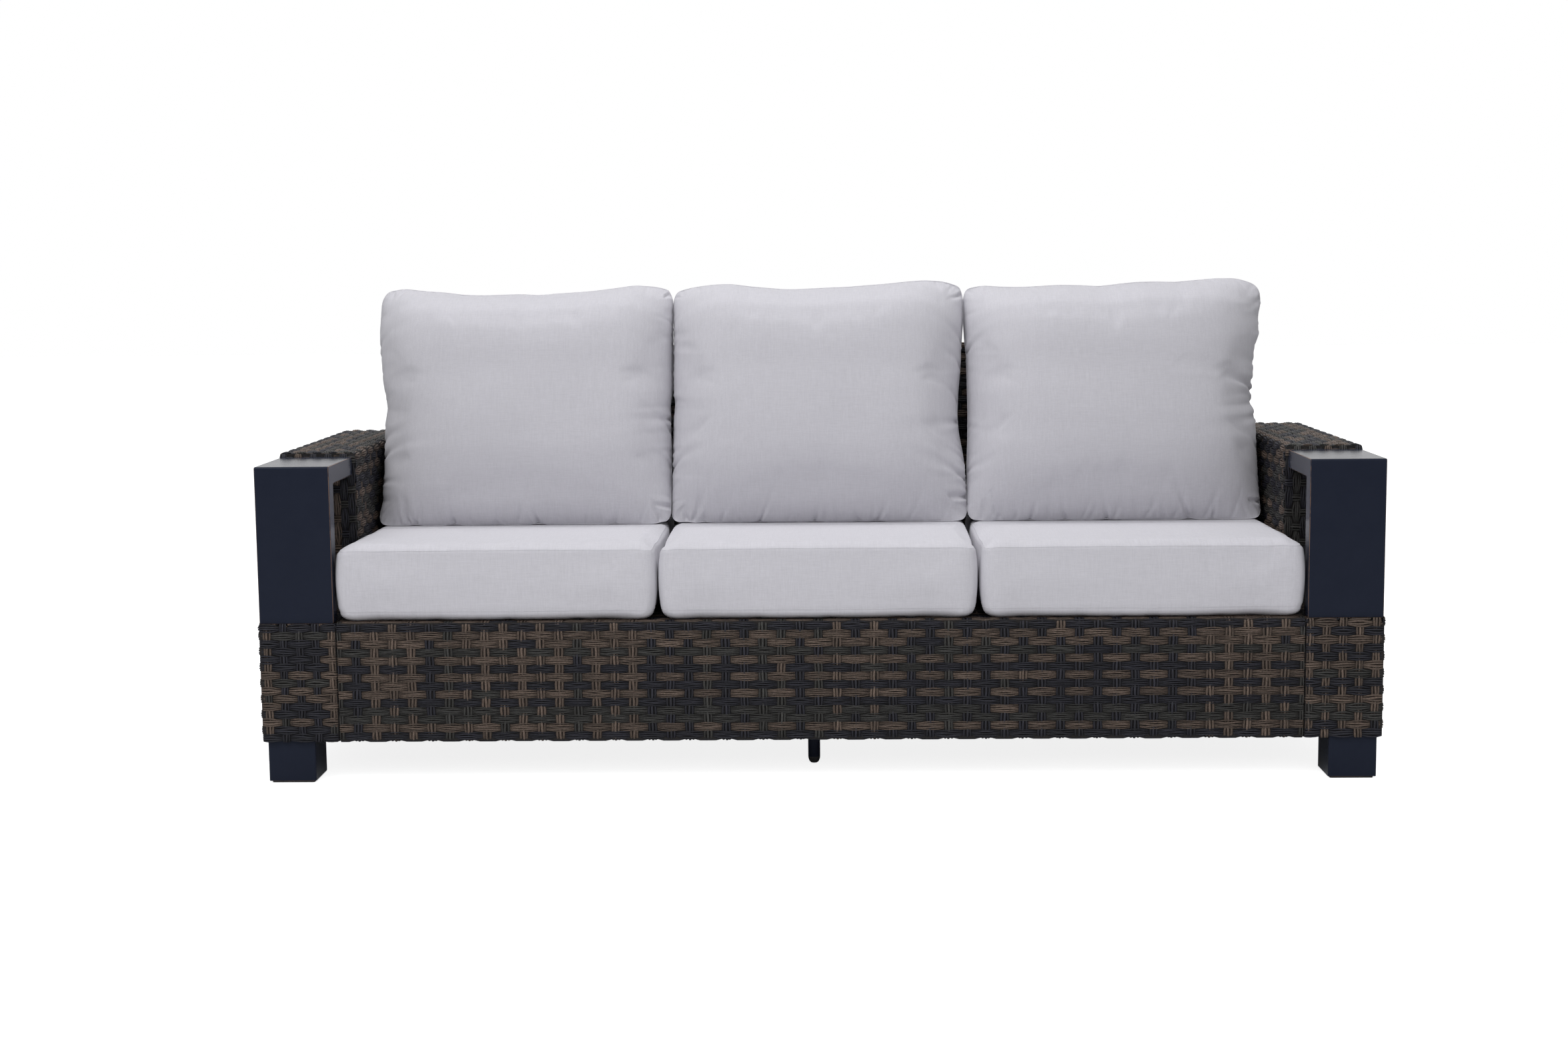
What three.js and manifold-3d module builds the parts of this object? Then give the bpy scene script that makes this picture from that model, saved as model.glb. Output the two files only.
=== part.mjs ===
import * as THREE from "three";
import { mergeVertices } from "three/addons/utils/BufferGeometryUtils.js";
import Module from "manifold-3d";

const wasm = await Module();
wasm.setup();

// A three-seat woven garden sofa, in millimetres: +X to the right of someone who looks at it, +Y to its back
// and +Z up. Depths are counted from the front face of the metal arm caps, and heights from the floor. At the
// end the whole group moves so that the origin lies on the floor under the middle of the sofa.

// Overall sizes
const sofaWidth = 2240; // over the two metal arm caps
const armDepth = 820;
const armWidth = 150;
const armHeight = 650;
const blockHeight = 326; // top of the low front block of an arm
const legHeight = 86; // underside of the weave
const deckStep = 2; // how far the seat deck and the apron's top stand above that block

// Woven skins
const weaveThickness = 6;
const weaveFront = 4; // how far the low weave stands before the metal
const weaveOuter = 2; // how far it stands past the metal at the sides
const weaveInner = 5; // the same towards the seat
const weaveRound = 9;
const weaveRoundBevel = 6;

// Metal arm caps
const capStep = 8; // how far the cap's top lies below the woven arm's
const capThickness = 38;
const capWall = 3;
const capRound = 4;
const capBevel = 2.5;
const windowDepth = 176; // the opening behind the front plate
const spigotLength = 50; // how far the arm's tubes reach into the cap
const spigotPlay = 2;

// Tubes
const tubeWidth = 25;
const tubeWall = 1.5;
const seatTubeHeight = 32;
const backTubeWidth = 30;
const fitGap = 0.3;
const cutOverrun = 5;

// Corner legs
const legWidth = 96;
const legWall = 2.5;
const legRound = 4;
const legInset = 7; // from the metal's outer side
const legFront = 4;
const legRear = 8;
const glideThickness = 4;
const glideInset = 5;

// Middle leg
const middleLegDiameter = 25;
const middleLegWall = 1.5;
const middleLegOffset = 12; // left of the middle
const middleLegSetback = 166;
const flangeWidth = 64;
const flangeThickness = 4;
const footHeight = 14;
const footFlatDiameter = 9;
const footStem = 22;

// Seat and apron
const apronReturn = 36; // how far the apron's weave wraps back over its rails
const apronGap = 3; // beside the arms
const crossTubeCount = 5;
const apronStileCount = 4;

// Back panel
const backLean = THREE.MathUtils.degToRad(12);
const backPanelLength = 765; // along its slope
const backPanelThickness = 52;
const backPanelBottom = 100;
const backUprightCount = 4;
const seatDepth = 618; // from the caps' front to the panel, on the deck

// Bolts
const boltDiameter = 8;
const boltHead = 13; // across flats
const boltHeadHeight = 5.5;
const washerDiameter = 20;
const washerThickness = 1.6;
const boltReach = 14; // past the skin of what it holds
const boltPlay = 0.5;
const armBoltShares = [0.16, 0.84]; // along a seat end tube

// Seat cushions
const cushionCount = 3;
const cushionGap = 3;
const seatOverhang = 3; // past the caps' front
const seatCushionBackGap = 6; // to the back panel
const seatSeamLow = 19; // the lower seam above the deck
const seatSeamHigh = 146;
const seatCrown = 4;
const seatBottomRound = 27;
const seatCorner = 38;
const seatSideDraw = 7;
const seatSeamDraw = 3.5;
const seatTopRound = 16;

// Back cushions
const backCushionHeight = 556;
const backCushionThickness = 264;
const backCushionLean = THREE.MathUtils.degToRad(12.5);
const backCushionCorner = 34;
const backCushionDraw = 13;
const backCushionSquash = 40; // how much of its foot is flattened on the seat

// Roundness
const arcSteps = 3;
const lathedSides = 20;
const boltSides = 12;
const cornerSteps = 4;
const bevelSteps = 2;
const hexagonSides = 6;
const columnSteps = 20; // places tried between two rings of a cushion's middle column
const crownPower = 6; // how flat a seat cushion's top stays towards its edges
const pillowPower = { across: 4, up: 6 }; // how full a back cushion stays towards its seams
const sideShares = [-0.8, -0.45, 0, 0.45, 0.8]; // places along a cushion's side, from its middle
const crownShares = [0.1, 0.3, 0.55, 0.8]; // rings over a seat cushion's top, from its edge to its middle
const pillowShares = [0.98, 0.93, 0.84, 0.68, 0.42]; // rings of a back cushion's face, seam to middle
const meshTolerance = 0.001;

// Colours
const bronze = 0x2a2a2e;
const woven = 0x3f3a38;
const linen = 0xc8c7cb;
const bareMetal = 0xa7a9ab;
const steel = 0x8b8d90;
const plastic = 0x1c1c1d;

const metalPaint = new THREE.MeshStandardMaterial({ color: bronze, roughness: 0.4, metalness: 0.7 });
const resinWeave = new THREE.MeshStandardMaterial({ color: woven, roughness: 0.6, metalness: 0 });
const cushionCloth = new THREE.MeshStandardMaterial({ color: linen, roughness: 0.95, metalness: 0 });
const tubeMetal = new THREE.MeshStandardMaterial({ color: bareMetal, roughness: 0.45, metalness: 0.9 });
const boltSteel = new THREE.MeshStandardMaterial({ color: steel, roughness: 0.35, metalness: 1 });
const glidePlastic = new THREE.MeshStandardMaterial({ color: plastic, roughness: 0.7, metalness: 0 });

// Places that follow from the sizes
const capInner = sofaWidth / 2 - armWidth;
const capOuter = sofaWidth / 2;
const armX = [capInner - weaveInner, capOuter + weaveOuter];
const windowBack = capThickness + windowDepth;
const capHeight = armHeight - capStep;
const deckHeight = blockHeight + deckStep;
const seatHalf = armX[0] - fitGap;
const tubeBottom = legHeight + weaveThickness + fitGap;
const seatTubeTop = deckHeight - weaveThickness - fitGap;
const seatTubeZ = [seatTubeTop - seatTubeHeight, seatTubeTop];
const seatBoltHeight = (seatTubeZ[0] + seatTubeZ[1]) / 2;
const skinBack = weaveThickness - weaveFront; // depth of the back of the front weave
const frontRailY = [skinBack + fitGap, skinBack + fitGap + tubeWidth];
const backFaceAt = (height) => seatDepth + (height - deckHeight) * Math.tan(backLean);
const rearRailBack = backFaceAt(seatTubeZ[0]) - fitGap;
const rearRailY = [rearRailBack - tubeWidth, rearRailBack];
const sideTubeY = [frontRailY[1] + fitGap, rearRailY[0] - fitGap];

// Solids

function solidOf(geometry) {
  const bare = geometry.index ? geometry.toNonIndexed() : geometry.clone();
  bare.deleteAttribute("normal");
  bare.deleteAttribute("uv");
  const merged = mergeVertices(bare, meshTolerance);
  return new wasm.Manifold(
    new wasm.Mesh({
      numProp: 3,
      vertProperties: merged.attributes.position.array,
      triVerts: new Uint32Array(merged.index.array),
    }),
  );
}

function geometryOf(solid) {
  const mesh = solid.getMesh();
  const geometry = new THREE.BufferGeometry();
  geometry.setAttribute("position", new THREE.BufferAttribute(mesh.vertProperties, mesh.numProp));
  geometry.setIndex(new THREE.BufferAttribute(mesh.triVerts, 1));
  const flat = geometry.toNonIndexed();
  flat.computeVertexNormals();
  return flat;
}

function named(name, solid, material) {
  const mesh = new THREE.Mesh(geometryOf(solid), material.clone());
  mesh.name = name;
  return mesh;
}

const joined = (solids) => solids.reduce((all, one) => all.add(one));

// A block between two places on each axis.
function block(x, y, z) {
  const geometry = new THREE.BoxGeometry();
  const corners = geometry.attributes.position;
  const pick = (range, sign) => (sign < 0 ? range[0] : range[1]);
  for (let index = 0; index < corners.count; index += 1) {
    const [a, b, c] = [corners.getX(index), corners.getY(index), corners.getZ(index)];
    corners.setXYZ(index, pick(x, a), pick(y, b), pick(z, c));
  }
  return solidOf(geometry);
}

const widened = (range, by) => [range[0] - by, range[1] + by];

// A straight rectangular tube along the axis "x", "y" or "z", open at both ends.
function tube(axis, x, y, z, wall = tubeWall) {
  const change = (name) => (name === axis ? cutOverrun : -wall);
  const bore = block(widened(x, change("x")), widened(y, change("y")), widened(z, change("z")));
  return block(x, y, z).subtract(bore);
}

// Tubes welded into one frame whose bores run into each other.
function weldedTubes(tubes) {
  const outside = joined(tubes.map(([x, y, z]) => block(x, y, z)));
  const bores = tubes.map((ranges) => block(...ranges.map((range) => widened(range, -tubeWall))));
  return outside.subtract(joined(bores));
}

function roundedRectangle(u, v, radius) {
  const shape = new THREE.Shape();
  shape.absarc(u[1] - radius, v[0] + radius, radius, -Math.PI / 2, 0);
  shape.absarc(u[1] - radius, v[1] - radius, radius, 0, Math.PI / 2);
  shape.absarc(u[0] + radius, v[1] - radius, radius, Math.PI / 2, Math.PI);
  shape.absarc(u[0] + radius, v[0] + radius, radius, Math.PI, (3 * Math.PI) / 2);
  return shape;
}

// Turns an extrusion so that its outline's two axes become Y and Z and its length runs along X.
const outlineToDepthAndHeight = new THREE.Matrix4().makeBasis(
  new THREE.Vector3(0, 1, 0),
  new THREE.Vector3(0, 0, 1),
  new THREE.Vector3(1, 0, 0),
);

// An outline of depth and height, run from one side to the other, its side edges rounded by the bevel.
function acrossBevelled(shape, x, bevel) {
  const geometry = new THREE.ExtrudeGeometry(shape, {
    depth: x[1] - x[0] - 2 * bevel,
    bevelEnabled: bevel > 0,
    bevelThickness: bevel,
    bevelSize: bevel,
    bevelOffset: -bevel,
    bevelSegments: bevelSteps,
    curveSegments: arcSteps,
  });
  geometry.applyMatrix4(outlineToDepthAndHeight);
  geometry.translate(x[0] + bevel, 0, 0);
  return solidOf(geometry);
}

const roundedBlock = (x, y, z) => acrossBevelled(roundedRectangle(y, z, weaveRound), x, weaveRoundBevel);

// A rounded rectangle in plan, run upwards.
function post(x, y, z, radius) {
  const geometry = new THREE.ExtrudeGeometry(roundedRectangle(x, y, radius), {
    depth: z[1] - z[0],
    bevelEnabled: false,
    curveSegments: arcSteps,
  });
  geometry.translate(0, 0, z[0]);
  return solidOf(geometry);
}

// A round rod from a point along an axis.
function rod(diameter, length, axis, start, sides = boltSides) {
  const geometry = new THREE.CylinderGeometry(diameter / 2, diameter / 2, length, sides);
  geometry.translate(0, length / 2, 0);
  const turn = new THREE.Quaternion().setFromUnitVectors(new THREE.Vector3(0, 1, 0), axis);
  geometry.applyQuaternion(turn);
  geometry.translate(start.x, start.y, start.z);
  return solidOf(geometry);
}

// A profile of radii and heights turned round an upright axis.
function turned(profile, x, y) {
  const points = profile.map(([radius, height]) => new THREE.Vector2(radius, height));
  const geometry = new THREE.LatheGeometry(points, lathedSides);
  geometry.rotateX(Math.PI / 2);
  geometry.translate(x, y, 0);
  return solidOf(geometry);
}

// Arms. They are modelled on the right, and the left one is the mirror image.

const armLoopLow = Math.max(capInner + capWall, armX[0] + weaveThickness) + fitGap;
const armLoopHigh = Math.min(capOuter - capWall, armX[1] - weaveThickness) - fitGap;
const armLoopInner = [armLoopLow, armLoopLow + tubeWidth];
const armLoopOuter = [armLoopHigh - tubeWidth, armLoopHigh];
const armPostFront = [capWall + spigotPlay, capWall + spigotPlay + tubeWidth];
const armPostWindow = [windowBack + weaveThickness + fitGap, windowBack + weaveThickness + fitGap + tubeWidth];
const armPostRear = [armDepth - weaveThickness - fitGap - tubeWidth, armDepth - weaveThickness - fitGap];
const armShelfZ = [blockHeight - weaveThickness - fitGap - tubeWidth, blockHeight - weaveThickness - fitGap];
const armTopZ = [capHeight - capWall - spigotPlay - tubeWidth, capHeight - capWall - spigotPlay];
const armBottomZ = [tubeBottom, tubeBottom + tubeWidth];
const armLoops = [armLoopInner, armLoopOuter];

// The places along the arm of its two legs.
const legPlaces = {
  front: [legFront, legFront + legWidth],
  rear: [armDepth - legRear - legWidth, armDepth - legRear],
};
const legX = [capOuter - legInset - legWidth, capOuter - legInset];

const endTubeX = [seatHalf - tubeWidth, seatHalf];
const armBoltPlaces = armBoltShares.map((share) => sideTubeY[0] + share * (sideTubeY[1] - sideTubeY[0]));

function armBoltHole(place) {
  const start = new THREE.Vector3(endTubeX[0] - cutOverrun, place, seatBoltHeight);
  const length = armLoopInner[0] + tubeWall + cutOverrun - start.x;
  return rod(boltDiameter + 2 * boltPlay, length, new THREE.Vector3(1, 0, 0), start);
}

// The inverted L of box section: a front plate and a top slab with one hollow.
function armCap() {
  const slabUnder = capHeight - capThickness;
  const plateFoot = blockHeight + fitGap;
  const slabEnd = windowBack - fitGap;
  const outline = new THREE.Shape();
  outline.moveTo(0, plateFoot);
  outline.lineTo(capThickness, plateFoot);
  outline.lineTo(capThickness, slabUnder - capRound);
  outline.absarc(capThickness + capRound, slabUnder - capRound, capRound, Math.PI, Math.PI / 2, true);
  outline.lineTo(slabEnd, slabUnder);
  outline.lineTo(slabEnd, capHeight);
  outline.absarc(capRound, capHeight - capRound, capRound, Math.PI / 2, Math.PI);
  outline.lineTo(0, plateFoot);
  const insideX = [capInner + capWall, capOuter - capWall];
  const insideTop = capHeight - capWall;
  const plateBore = block(insideX, [capWall, capThickness - capWall], [plateFoot - cutOverrun, insideTop]);
  const slabBore = block(insideX, [capWall, slabEnd + cutOverrun], [slabUnder + capWall, insideTop]);
  return acrossBevelled(outline, [capInner, capOuter], capBevel).subtract(plateBore).subtract(slabBore);
}

// Two side loops of square tube with spacers, whose front posts and top tubes reach into the cap.
function armFrame() {
  const sideTubes = armLoops.flatMap((x) => [
    [x, [armPostFront[0], armPostRear[1]], armBottomZ],
    [x, armPostFront, [armBottomZ[0], blockHeight + spigotLength]],
    [x, armPostWindow, [armBottomZ[0], armTopZ[1]]],
    [x, armPostRear, [armBottomZ[0], armTopZ[1]]],
    [x, [windowBack - spigotLength, armPostRear[1]], armTopZ],
    [x, [armPostFront[0], armPostRear[1]], armShelfZ],
  ]);
  const across = [armLoopInner[0], armLoopOuter[1]];
  const spacers = [
    [armPostFront, armBottomZ],
    [armPostWindow, armBottomZ],
    [armPostRear, armBottomZ],
    [armPostFront, armShelfZ],
    [armPostWindow, armShelfZ],
    [armPostRear, armShelfZ],
    [armPostWindow, armTopZ],
    [armPostRear, armTopZ],
  ].map(([y, z]) => [across, y, z]);
  const drains = armLoops.map((x) =>
    block(widened(x, -tubeWall), widened(armPostFront, -tubeWall), widened(armBottomZ, tubeWall)),
  );
  const drain = joined(drains).subtract(block(across, [0, armDepth], [armBottomZ[0] + tubeWall, armHeight]));
  const holes = armBoltPlaces.map(armBoltHole);
  return weldedTubes([...sideTubes, ...spacers]).subtract(drain).subtract(joined(holes));
}

// The woven skin: a low block at the front and a tall arm behind it, hollow, with ways in for what goes through it.
function armWeave() {
  const lowY = [-weaveFront, armDepth];
  const tallY = [windowBack, armDepth];
  const outside = roundedBlock(armX, lowY, [legHeight, blockHeight]).add(
    roundedBlock(armX, tallY, [legHeight, armHeight]),
  );
  const hollowIn = (...ranges) => block(...ranges.map((range) => widened(range, -weaveThickness)));
  const lowHollow = hollowIn(armX, lowY, [legHeight, blockHeight]);
  const tallHollow = hollowIn(armX, tallY, [legHeight, armHeight]);
  const legHoles = Object.values(legPlaces).map((y) =>
    block(widened(legX, fitGap), widened(y, fitGap), [legHeight - cutOverrun, tubeBottom]),
  );
  const postHoles = armLoops.map((x) =>
    block(widened(x, fitGap), widened(armPostFront, fitGap), [armShelfZ[1], blockHeight + cutOverrun]),
  );
  const slabHoles = armLoops.map((x) =>
    block(widened(x, fitGap), [windowBack - cutOverrun, armPostWindow[0]], widened(armTopZ, fitGap)),
  );
  const boltHoles = armBoltPlaces.map(armBoltHole);
  return outside
    .subtract(lowHollow.add(tallHollow))
    .subtract(joined([...legHoles, ...postHoles, ...slabHoles, ...boltHoles]));
}

function leg(y) {
  const z = [glideThickness, legHeight + weaveThickness];
  const bore = block(widened(legX, -legWall), widened(y, -legWall), [z[0] + legWall, z[1] + cutOverrun]);
  return post(legX, y, z, legRound).subtract(bore);
}

const glide = (y) =>
  post(widened(legX, -glideInset), widened(y, -glideInset), [0, glideThickness - fitGap], legRound);

// A hexagon bolt with its washer, pushed in along an axis. The head's underside is at the start.
function bolt(start, axis, reach) {
  const back = axis.clone().negate();
  const washerFace = start.clone().addScaledVector(back, fitGap);
  const headFace = washerFace.clone().addScaledVector(back, washerThickness);
  const headDiameter = boltHead / Math.cos(Math.PI / hexagonSides);
  return rod(boltDiameter, reach + fitGap + washerThickness, axis, headFace)
    .add(rod(washerDiameter, washerThickness, back, washerFace))
    .add(rod(headDiameter, boltHeadHeight, back, headFace, hexagonSides));
}

function arm(side) {
  const group = new THREE.Group();
  group.add(named(`arm_cap_${side}`, armCap(), metalPaint));
  group.add(named(`arm_frame_${side}`, armFrame(), tubeMetal));
  group.add(named(`arm_weave_${side}`, armWeave(), resinWeave));
  for (const [place, y] of Object.entries(legPlaces)) {
    group.add(named(`leg_${place}_${side}`, leg(y), metalPaint));
    group.add(named(`glide_${place}_${side}`, glide(y), glidePlastic));
  }
  armBoltPlaces.forEach((y, index) => {
    const start = new THREE.Vector3(endTubeX[0], y, seatBoltHeight);
    const reach = armLoopInner[0] - endTubeX[0] + boltReach;
    const solid = bolt(start, new THREE.Vector3(1, 0, 0), reach);
    group.add(named(`arm_bolt_${index + 1}_${side}`, solid, boltSteel));
  });
  group.add(named(`seat_end_tube_${side}`, seatEndTube(), tubeMetal));
  group.scale.x = side === "left" ? -1 : 1;
  return group;
}

// Seat frame, deck and apron

function seatEndTube() {
  return tube("y", endTubeX, sideTubeY, seatTubeZ).subtract(joined(armBoltPlaces.map(armBoltHole)));
}

const bayWidth = (2 * seatHalf - tubeWidth) / (crossTubeCount + 1);
const crossTubePlaces = Array.from(
  { length: crossTubeCount },
  (unused, index) => (index + 1 - (crossTubeCount + 1) / 2) * bayWidth,
);
const backBoltPlaces = crossTubePlaces.slice(1).map((place) => place - bayWidth / 2);

function backBoltHole(place) {
  const start = new THREE.Vector3(place, rearRailY[0] - cutOverrun, seatBoltHeight);
  const length = backFaceAt(seatBoltHeight) + backPanelThickness / 2 - start.y;
  return rod(boltDiameter + 2 * boltPlay, length, new THREE.Vector3(0, 1, 0), start);
}

function middleLeg() {
  const radius = middleLegDiameter / 2;
  const boreRadius = radius - middleLegWall;
  const flangeTop = seatTubeZ[0] - fitGap;
  const flangeUnder = flangeTop - flangeThickness;
  const profile = [
    [radius, footHeight + fitGap],
    [radius, flangeUnder],
    [0, flangeUnder],
    [0, flangeUnder - flangeThickness],
    [boreRadius, flangeUnder - flangeThickness],
    [boreRadius, footHeight + fitGap],
    [radius, footHeight + fitGap],
  ];
  const around = (middle) => [middle - flangeWidth / 2, middle + flangeWidth / 2];
  const flange = post(around(-middleLegOffset), around(middleLegSetback), [flangeUnder, flangeTop], legRound);
  return turned(profile, -middleLegOffset, middleLegSetback).add(flange);
}

// A domed foot with a stem that plugs the middle leg.
function middleFoot() {
  const radius = middleLegDiameter / 2;
  const stemRadius = radius - middleLegWall - fitGap;
  const flatRadius = footFlatDiameter / 2;
  const domeSteps = 2 * arcSteps;
  const dome = Array.from({ length: domeSteps + 1 }, (unused, index) => {
    const turn = (index / domeSteps) * (Math.PI / 2);
    return [flatRadius + (radius - flatRadius) * Math.sin(turn), footHeight * (1 - Math.cos(turn))];
  });
  const profile = [[0, 0], ...dome, [stemRadius, footHeight], [stemRadius, footHeight + footStem]];
  return turned([...profile, [0, footHeight + footStem]], -middleLegOffset, middleLegSetback);
}

// The apron's skin: a channel that wraps over its rails, with its hollow to the back.
function apronWeave() {
  const outer = acrossBevelled(
    roundedRectangle([-weaveFront, -weaveFront + apronReturn + weaveRound], [legHeight, deckHeight], weaveRound),
    [-armX[0] + apronGap, armX[0] - apronGap],
    0,
  );
  const across = widened([-armX[0], armX[0]], cutOverrun);
  const hollowZ = widened([legHeight, deckHeight], -weaveThickness);
  const hollow = block(across, [skinBack, armDepth], hollowZ);
  const open = block(across, [apronReturn - weaveFront, armDepth], [0, armHeight]);
  return outer.subtract(hollow).subtract(open);
}

function seat() {
  const group = new THREE.Group();
  const across = [-seatHalf, seatHalf];
  const rearRail = tube("x", across, rearRailY, seatTubeZ).subtract(joined(backBoltPlaces.map(backBoltHole)));
  group.add(named("seat_front_rail", tube("x", across, frontRailY, seatTubeZ), tubeMetal));
  group.add(named("seat_rear_rail", rearRail, tubeMetal));
  crossTubePlaces.forEach((x, index) => {
    const solid = tube("y", [x - tubeWidth / 2, x + tubeWidth / 2], sideTubeY, seatTubeZ);
    group.add(named(`seat_cross_tube_${index + 1}`, solid, tubeMetal));
  });
  const deckY = [apronReturn - weaveFront + fitGap, backFaceAt(seatTubeTop) - fitGap];
  const deck = block(across, deckY, [deckHeight - weaveThickness, deckHeight]);
  group.add(named("seat_deck_weave", deck, resinWeave));
  group.add(named("middle_leg", middleLeg(), metalPaint));
  group.add(named("middle_foot", middleFoot(), glidePlastic));
  return group;
}

function apron() {
  const group = new THREE.Group();
  const half = armX[0] - apronGap;
  const bottomZ = [tubeBottom, tubeBottom + tubeWidth];
  group.add(named("apron_weave", apronWeave(), resinWeave));
  group.add(named("apron_bottom_rail", tube("x", [-half, half], frontRailY, bottomZ), tubeMetal));
  for (let index = 0; index < apronStileCount; index += 1) {
    const middle = (half - tubeWidth / 2) * ((2 * index) / (apronStileCount - 1) - 1);
    const x = [middle - tubeWidth / 2, middle + tubeWidth / 2];
    const solid = tube("z", x, frontRailY, [bottomZ[1] + fitGap, seatTubeZ[0] - fitGap]);
    group.add(named(`apron_stile_${index + 1}`, solid, tubeMetal));
  }
  return group;
}

// Back panel. It is modelled upright, its front face on the XZ plane and its foot at the origin, and then leans.

const backPlace = new THREE.Matrix4()
  .makeTranslation(0, backFaceAt(backPanelBottom), backPanelBottom)
  .multiply(new THREE.Matrix4().makeRotationX(-backLean));
const backInverse = backPlace.clone().invert();

function backBoltHoles() {
  const geometry = geometryOf(joined(backBoltPlaces.map(backBoltHole)));
  return solidOf(geometry.applyMatrix4(backInverse));
}

function backWeave() {
  const outside = roundedBlock([-seatHalf, seatHalf], [0, backPanelThickness], [0, backPanelLength]);
  const hollow = block(
    widened([-seatHalf, seatHalf], -weaveThickness),
    widened([0, backPanelThickness], -weaveThickness),
    widened([0, backPanelLength], -weaveThickness),
  );
  return outside.subtract(hollow).subtract(backBoltHoles());
}

function backFrame() {
  const inset = weaveThickness + fitGap;
  const x = widened([-seatHalf, seatHalf], -inset);
  const y = widened([0, backPanelThickness], -inset);
  const z = widened([0, backPanelLength], -inset);
  const seatRail = (seatBoltHeight - backPanelBottom) / Math.cos(backLean);
  const rails = [
    [x, y, [z[0], z[0] + backTubeWidth]],
    [x, y, [seatRail - backTubeWidth / 2, seatRail + backTubeWidth / 2]],
    [x, y, [z[1] - backTubeWidth, z[1]]],
  ];
  const reach = (x[1] - x[0] - backTubeWidth) / (backUprightCount - 1);
  const uprights = Array.from({ length: backUprightCount }, (unused, index) => {
    const low = x[0] + index * reach;
    return [[low, low + backTubeWidth], y, z];
  });
  return weldedTubes([...rails, ...uprights]).subtract(backBoltHoles());
}

function back() {
  const group = new THREE.Group();
  const panel = new THREE.Group();
  panel.add(named("back_weave", backWeave(), resinWeave));
  panel.add(named("back_frame", backFrame(), tubeMetal));
  panel.applyMatrix4(backPlace);
  group.add(panel);
  backBoltPlaces.forEach((x, index) => {
    const start = new THREE.Vector3(x, rearRailY[0], seatBoltHeight);
    const reach = backFaceAt(seatBoltHeight) - rearRailY[0] + boltReach;
    const solid = bolt(start, new THREE.Vector3(0, 1, 0), reach);
    group.add(named(`back_bolt_${index + 1}`, solid, boltSteel));
  });
  return group;
}

// Cushions

// Points round a rectangle with rounded corners, its sides drawn in between them.
function cushionOutline(width, height, corner, draw) {
  const points = [];
  for (let side = 0; side < 4; side += 1) {
    const [along, out] = side % 2 ? [height / 2, width / 2] : [width / 2, height / 2];
    const place = (u, v) => {
      const turn = (side * Math.PI) / 2;
      points.push(
        new THREE.Vector2(u * Math.cos(turn) - v * Math.sin(turn), u * Math.sin(turn) + v * Math.cos(turn)),
      );
    };
    for (const share of sideShares) place(share * (along - corner), -out + draw * (1 - share * share));
    for (let step = 0; step <= cornerSteps; step += 1) {
      const turn = ((step / cornerSteps) * Math.PI) / 2;
      place(along - corner + corner * Math.sin(turn), -out + corner - corner * Math.cos(turn));
    }
  }
  return points;
}

// Closed skin through rings of points, from one end point to the other.
function ringedGeometry(first, rings, last) {
  const sides = rings[0].length;
  const points = [first, ...rings.flat(), last];
  const faces = [];
  for (let side = 0; side < sides; side += 1) {
    const next = (side + 1) % sides;
    faces.push(0, 1 + next, 1 + side);
    for (let ring = 0; ring + 1 < rings.length; ring += 1) {
      const low = 1 + ring * sides;
      const high = low + sides;
      faces.push(low + side, low + next, high + next);
      faces.push(low + side, high + next, high + side);
    }
    const top = 1 + (rings.length - 1) * sides;
    faces.push(top + side, top + next, points.length - 1);
  }
  const geometry = new THREE.BufferGeometry().setFromPoints(points);
  geometry.setIndex(faces);
  return geometry;
}

const seatCushionDepth = seatDepth + seatOverhang - seatCushionBackGap;
const cushionPitch = (2 * armX[0] - cushionGap) / cushionCount;
const cushionWidth = cushionPitch - cushionGap;
const seatCrownTop = deckHeight + fitGap + seatSeamHigh + seatCrown;

// A boxed seat cushion: flat below, a band that swells between two seams, and a crowned top.
function seatCushion() {
  const outline = cushionOutline(cushionWidth, seatCushionDepth, seatCorner, seatSideDraw);
  const half = new THREE.Vector2(cushionWidth / 2, seatCushionDepth / 2);
  const bottom = deckHeight + fitGap;
  const ring = (inset, height) =>
    outline.map((p) => new THREE.Vector3(p.x * (1 - inset / half.x), p.y * (1 - inset / half.y), height));
  const low = bottom + seatSeamLow;
  const high = bottom + seatSeamHigh;
  const rise = high - low;
  const crowned = (share) => {
    const level = ring(Math.max(share * half.x, 2 * seatTopRound), high);
    level.forEach((p) => {
      const [across, along] = [Math.abs(p.x / half.x), Math.abs(p.y / half.y)];
      p.z += seatCrown * (1 - across ** crownPower) * (1 - along ** crownPower);
    });
    return level;
  };
  const rings = [
    ring(seatBottomRound, bottom),
    ring(seatBottomRound / 4, bottom + seatSeamLow / 3),
    ring(seatSeamDraw, low),
    ring(0, low + rise / 4),
    ring(0, low + (3 * rise) / 4),
    ring(seatSeamDraw, high),
    ring(seatTopRound, high + seatCrown / 4),
    ...crownShares.map(crowned),
  ];
  const middle = (height) => new THREE.Vector3(0, 0, height);
  return ringedGeometry(middle(bottom), rings, middle(seatCrownTop));
}

// Half of a back cushion's thickness at shares of the way from its middle to its seams, across and up.
function pillowHalf(across, up) {
  const fullness = (1 - Math.abs(across) ** pillowPower.across) * (1 - Math.abs(up) ** pillowPower.up);
  return (backCushionThickness / 2) * Math.sqrt(fullness);
}

// A place on a leaning back cushion: across, up along its slope, and back from its middle plane.
function leant(across, up, back) {
  const sine = Math.sin(backCushionLean);
  const cosine = Math.cos(backCushionLean);
  return new THREE.Vector3(across, up * sine + back * cosine, up * cosine - back * sine);
}

const backCushionBase = seatCrownTop + fitGap; // height of its flattened underside
const backCushionFoot = backCushionBase - backCushionSquash; // height of its bottom seam before it is flattened

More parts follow.
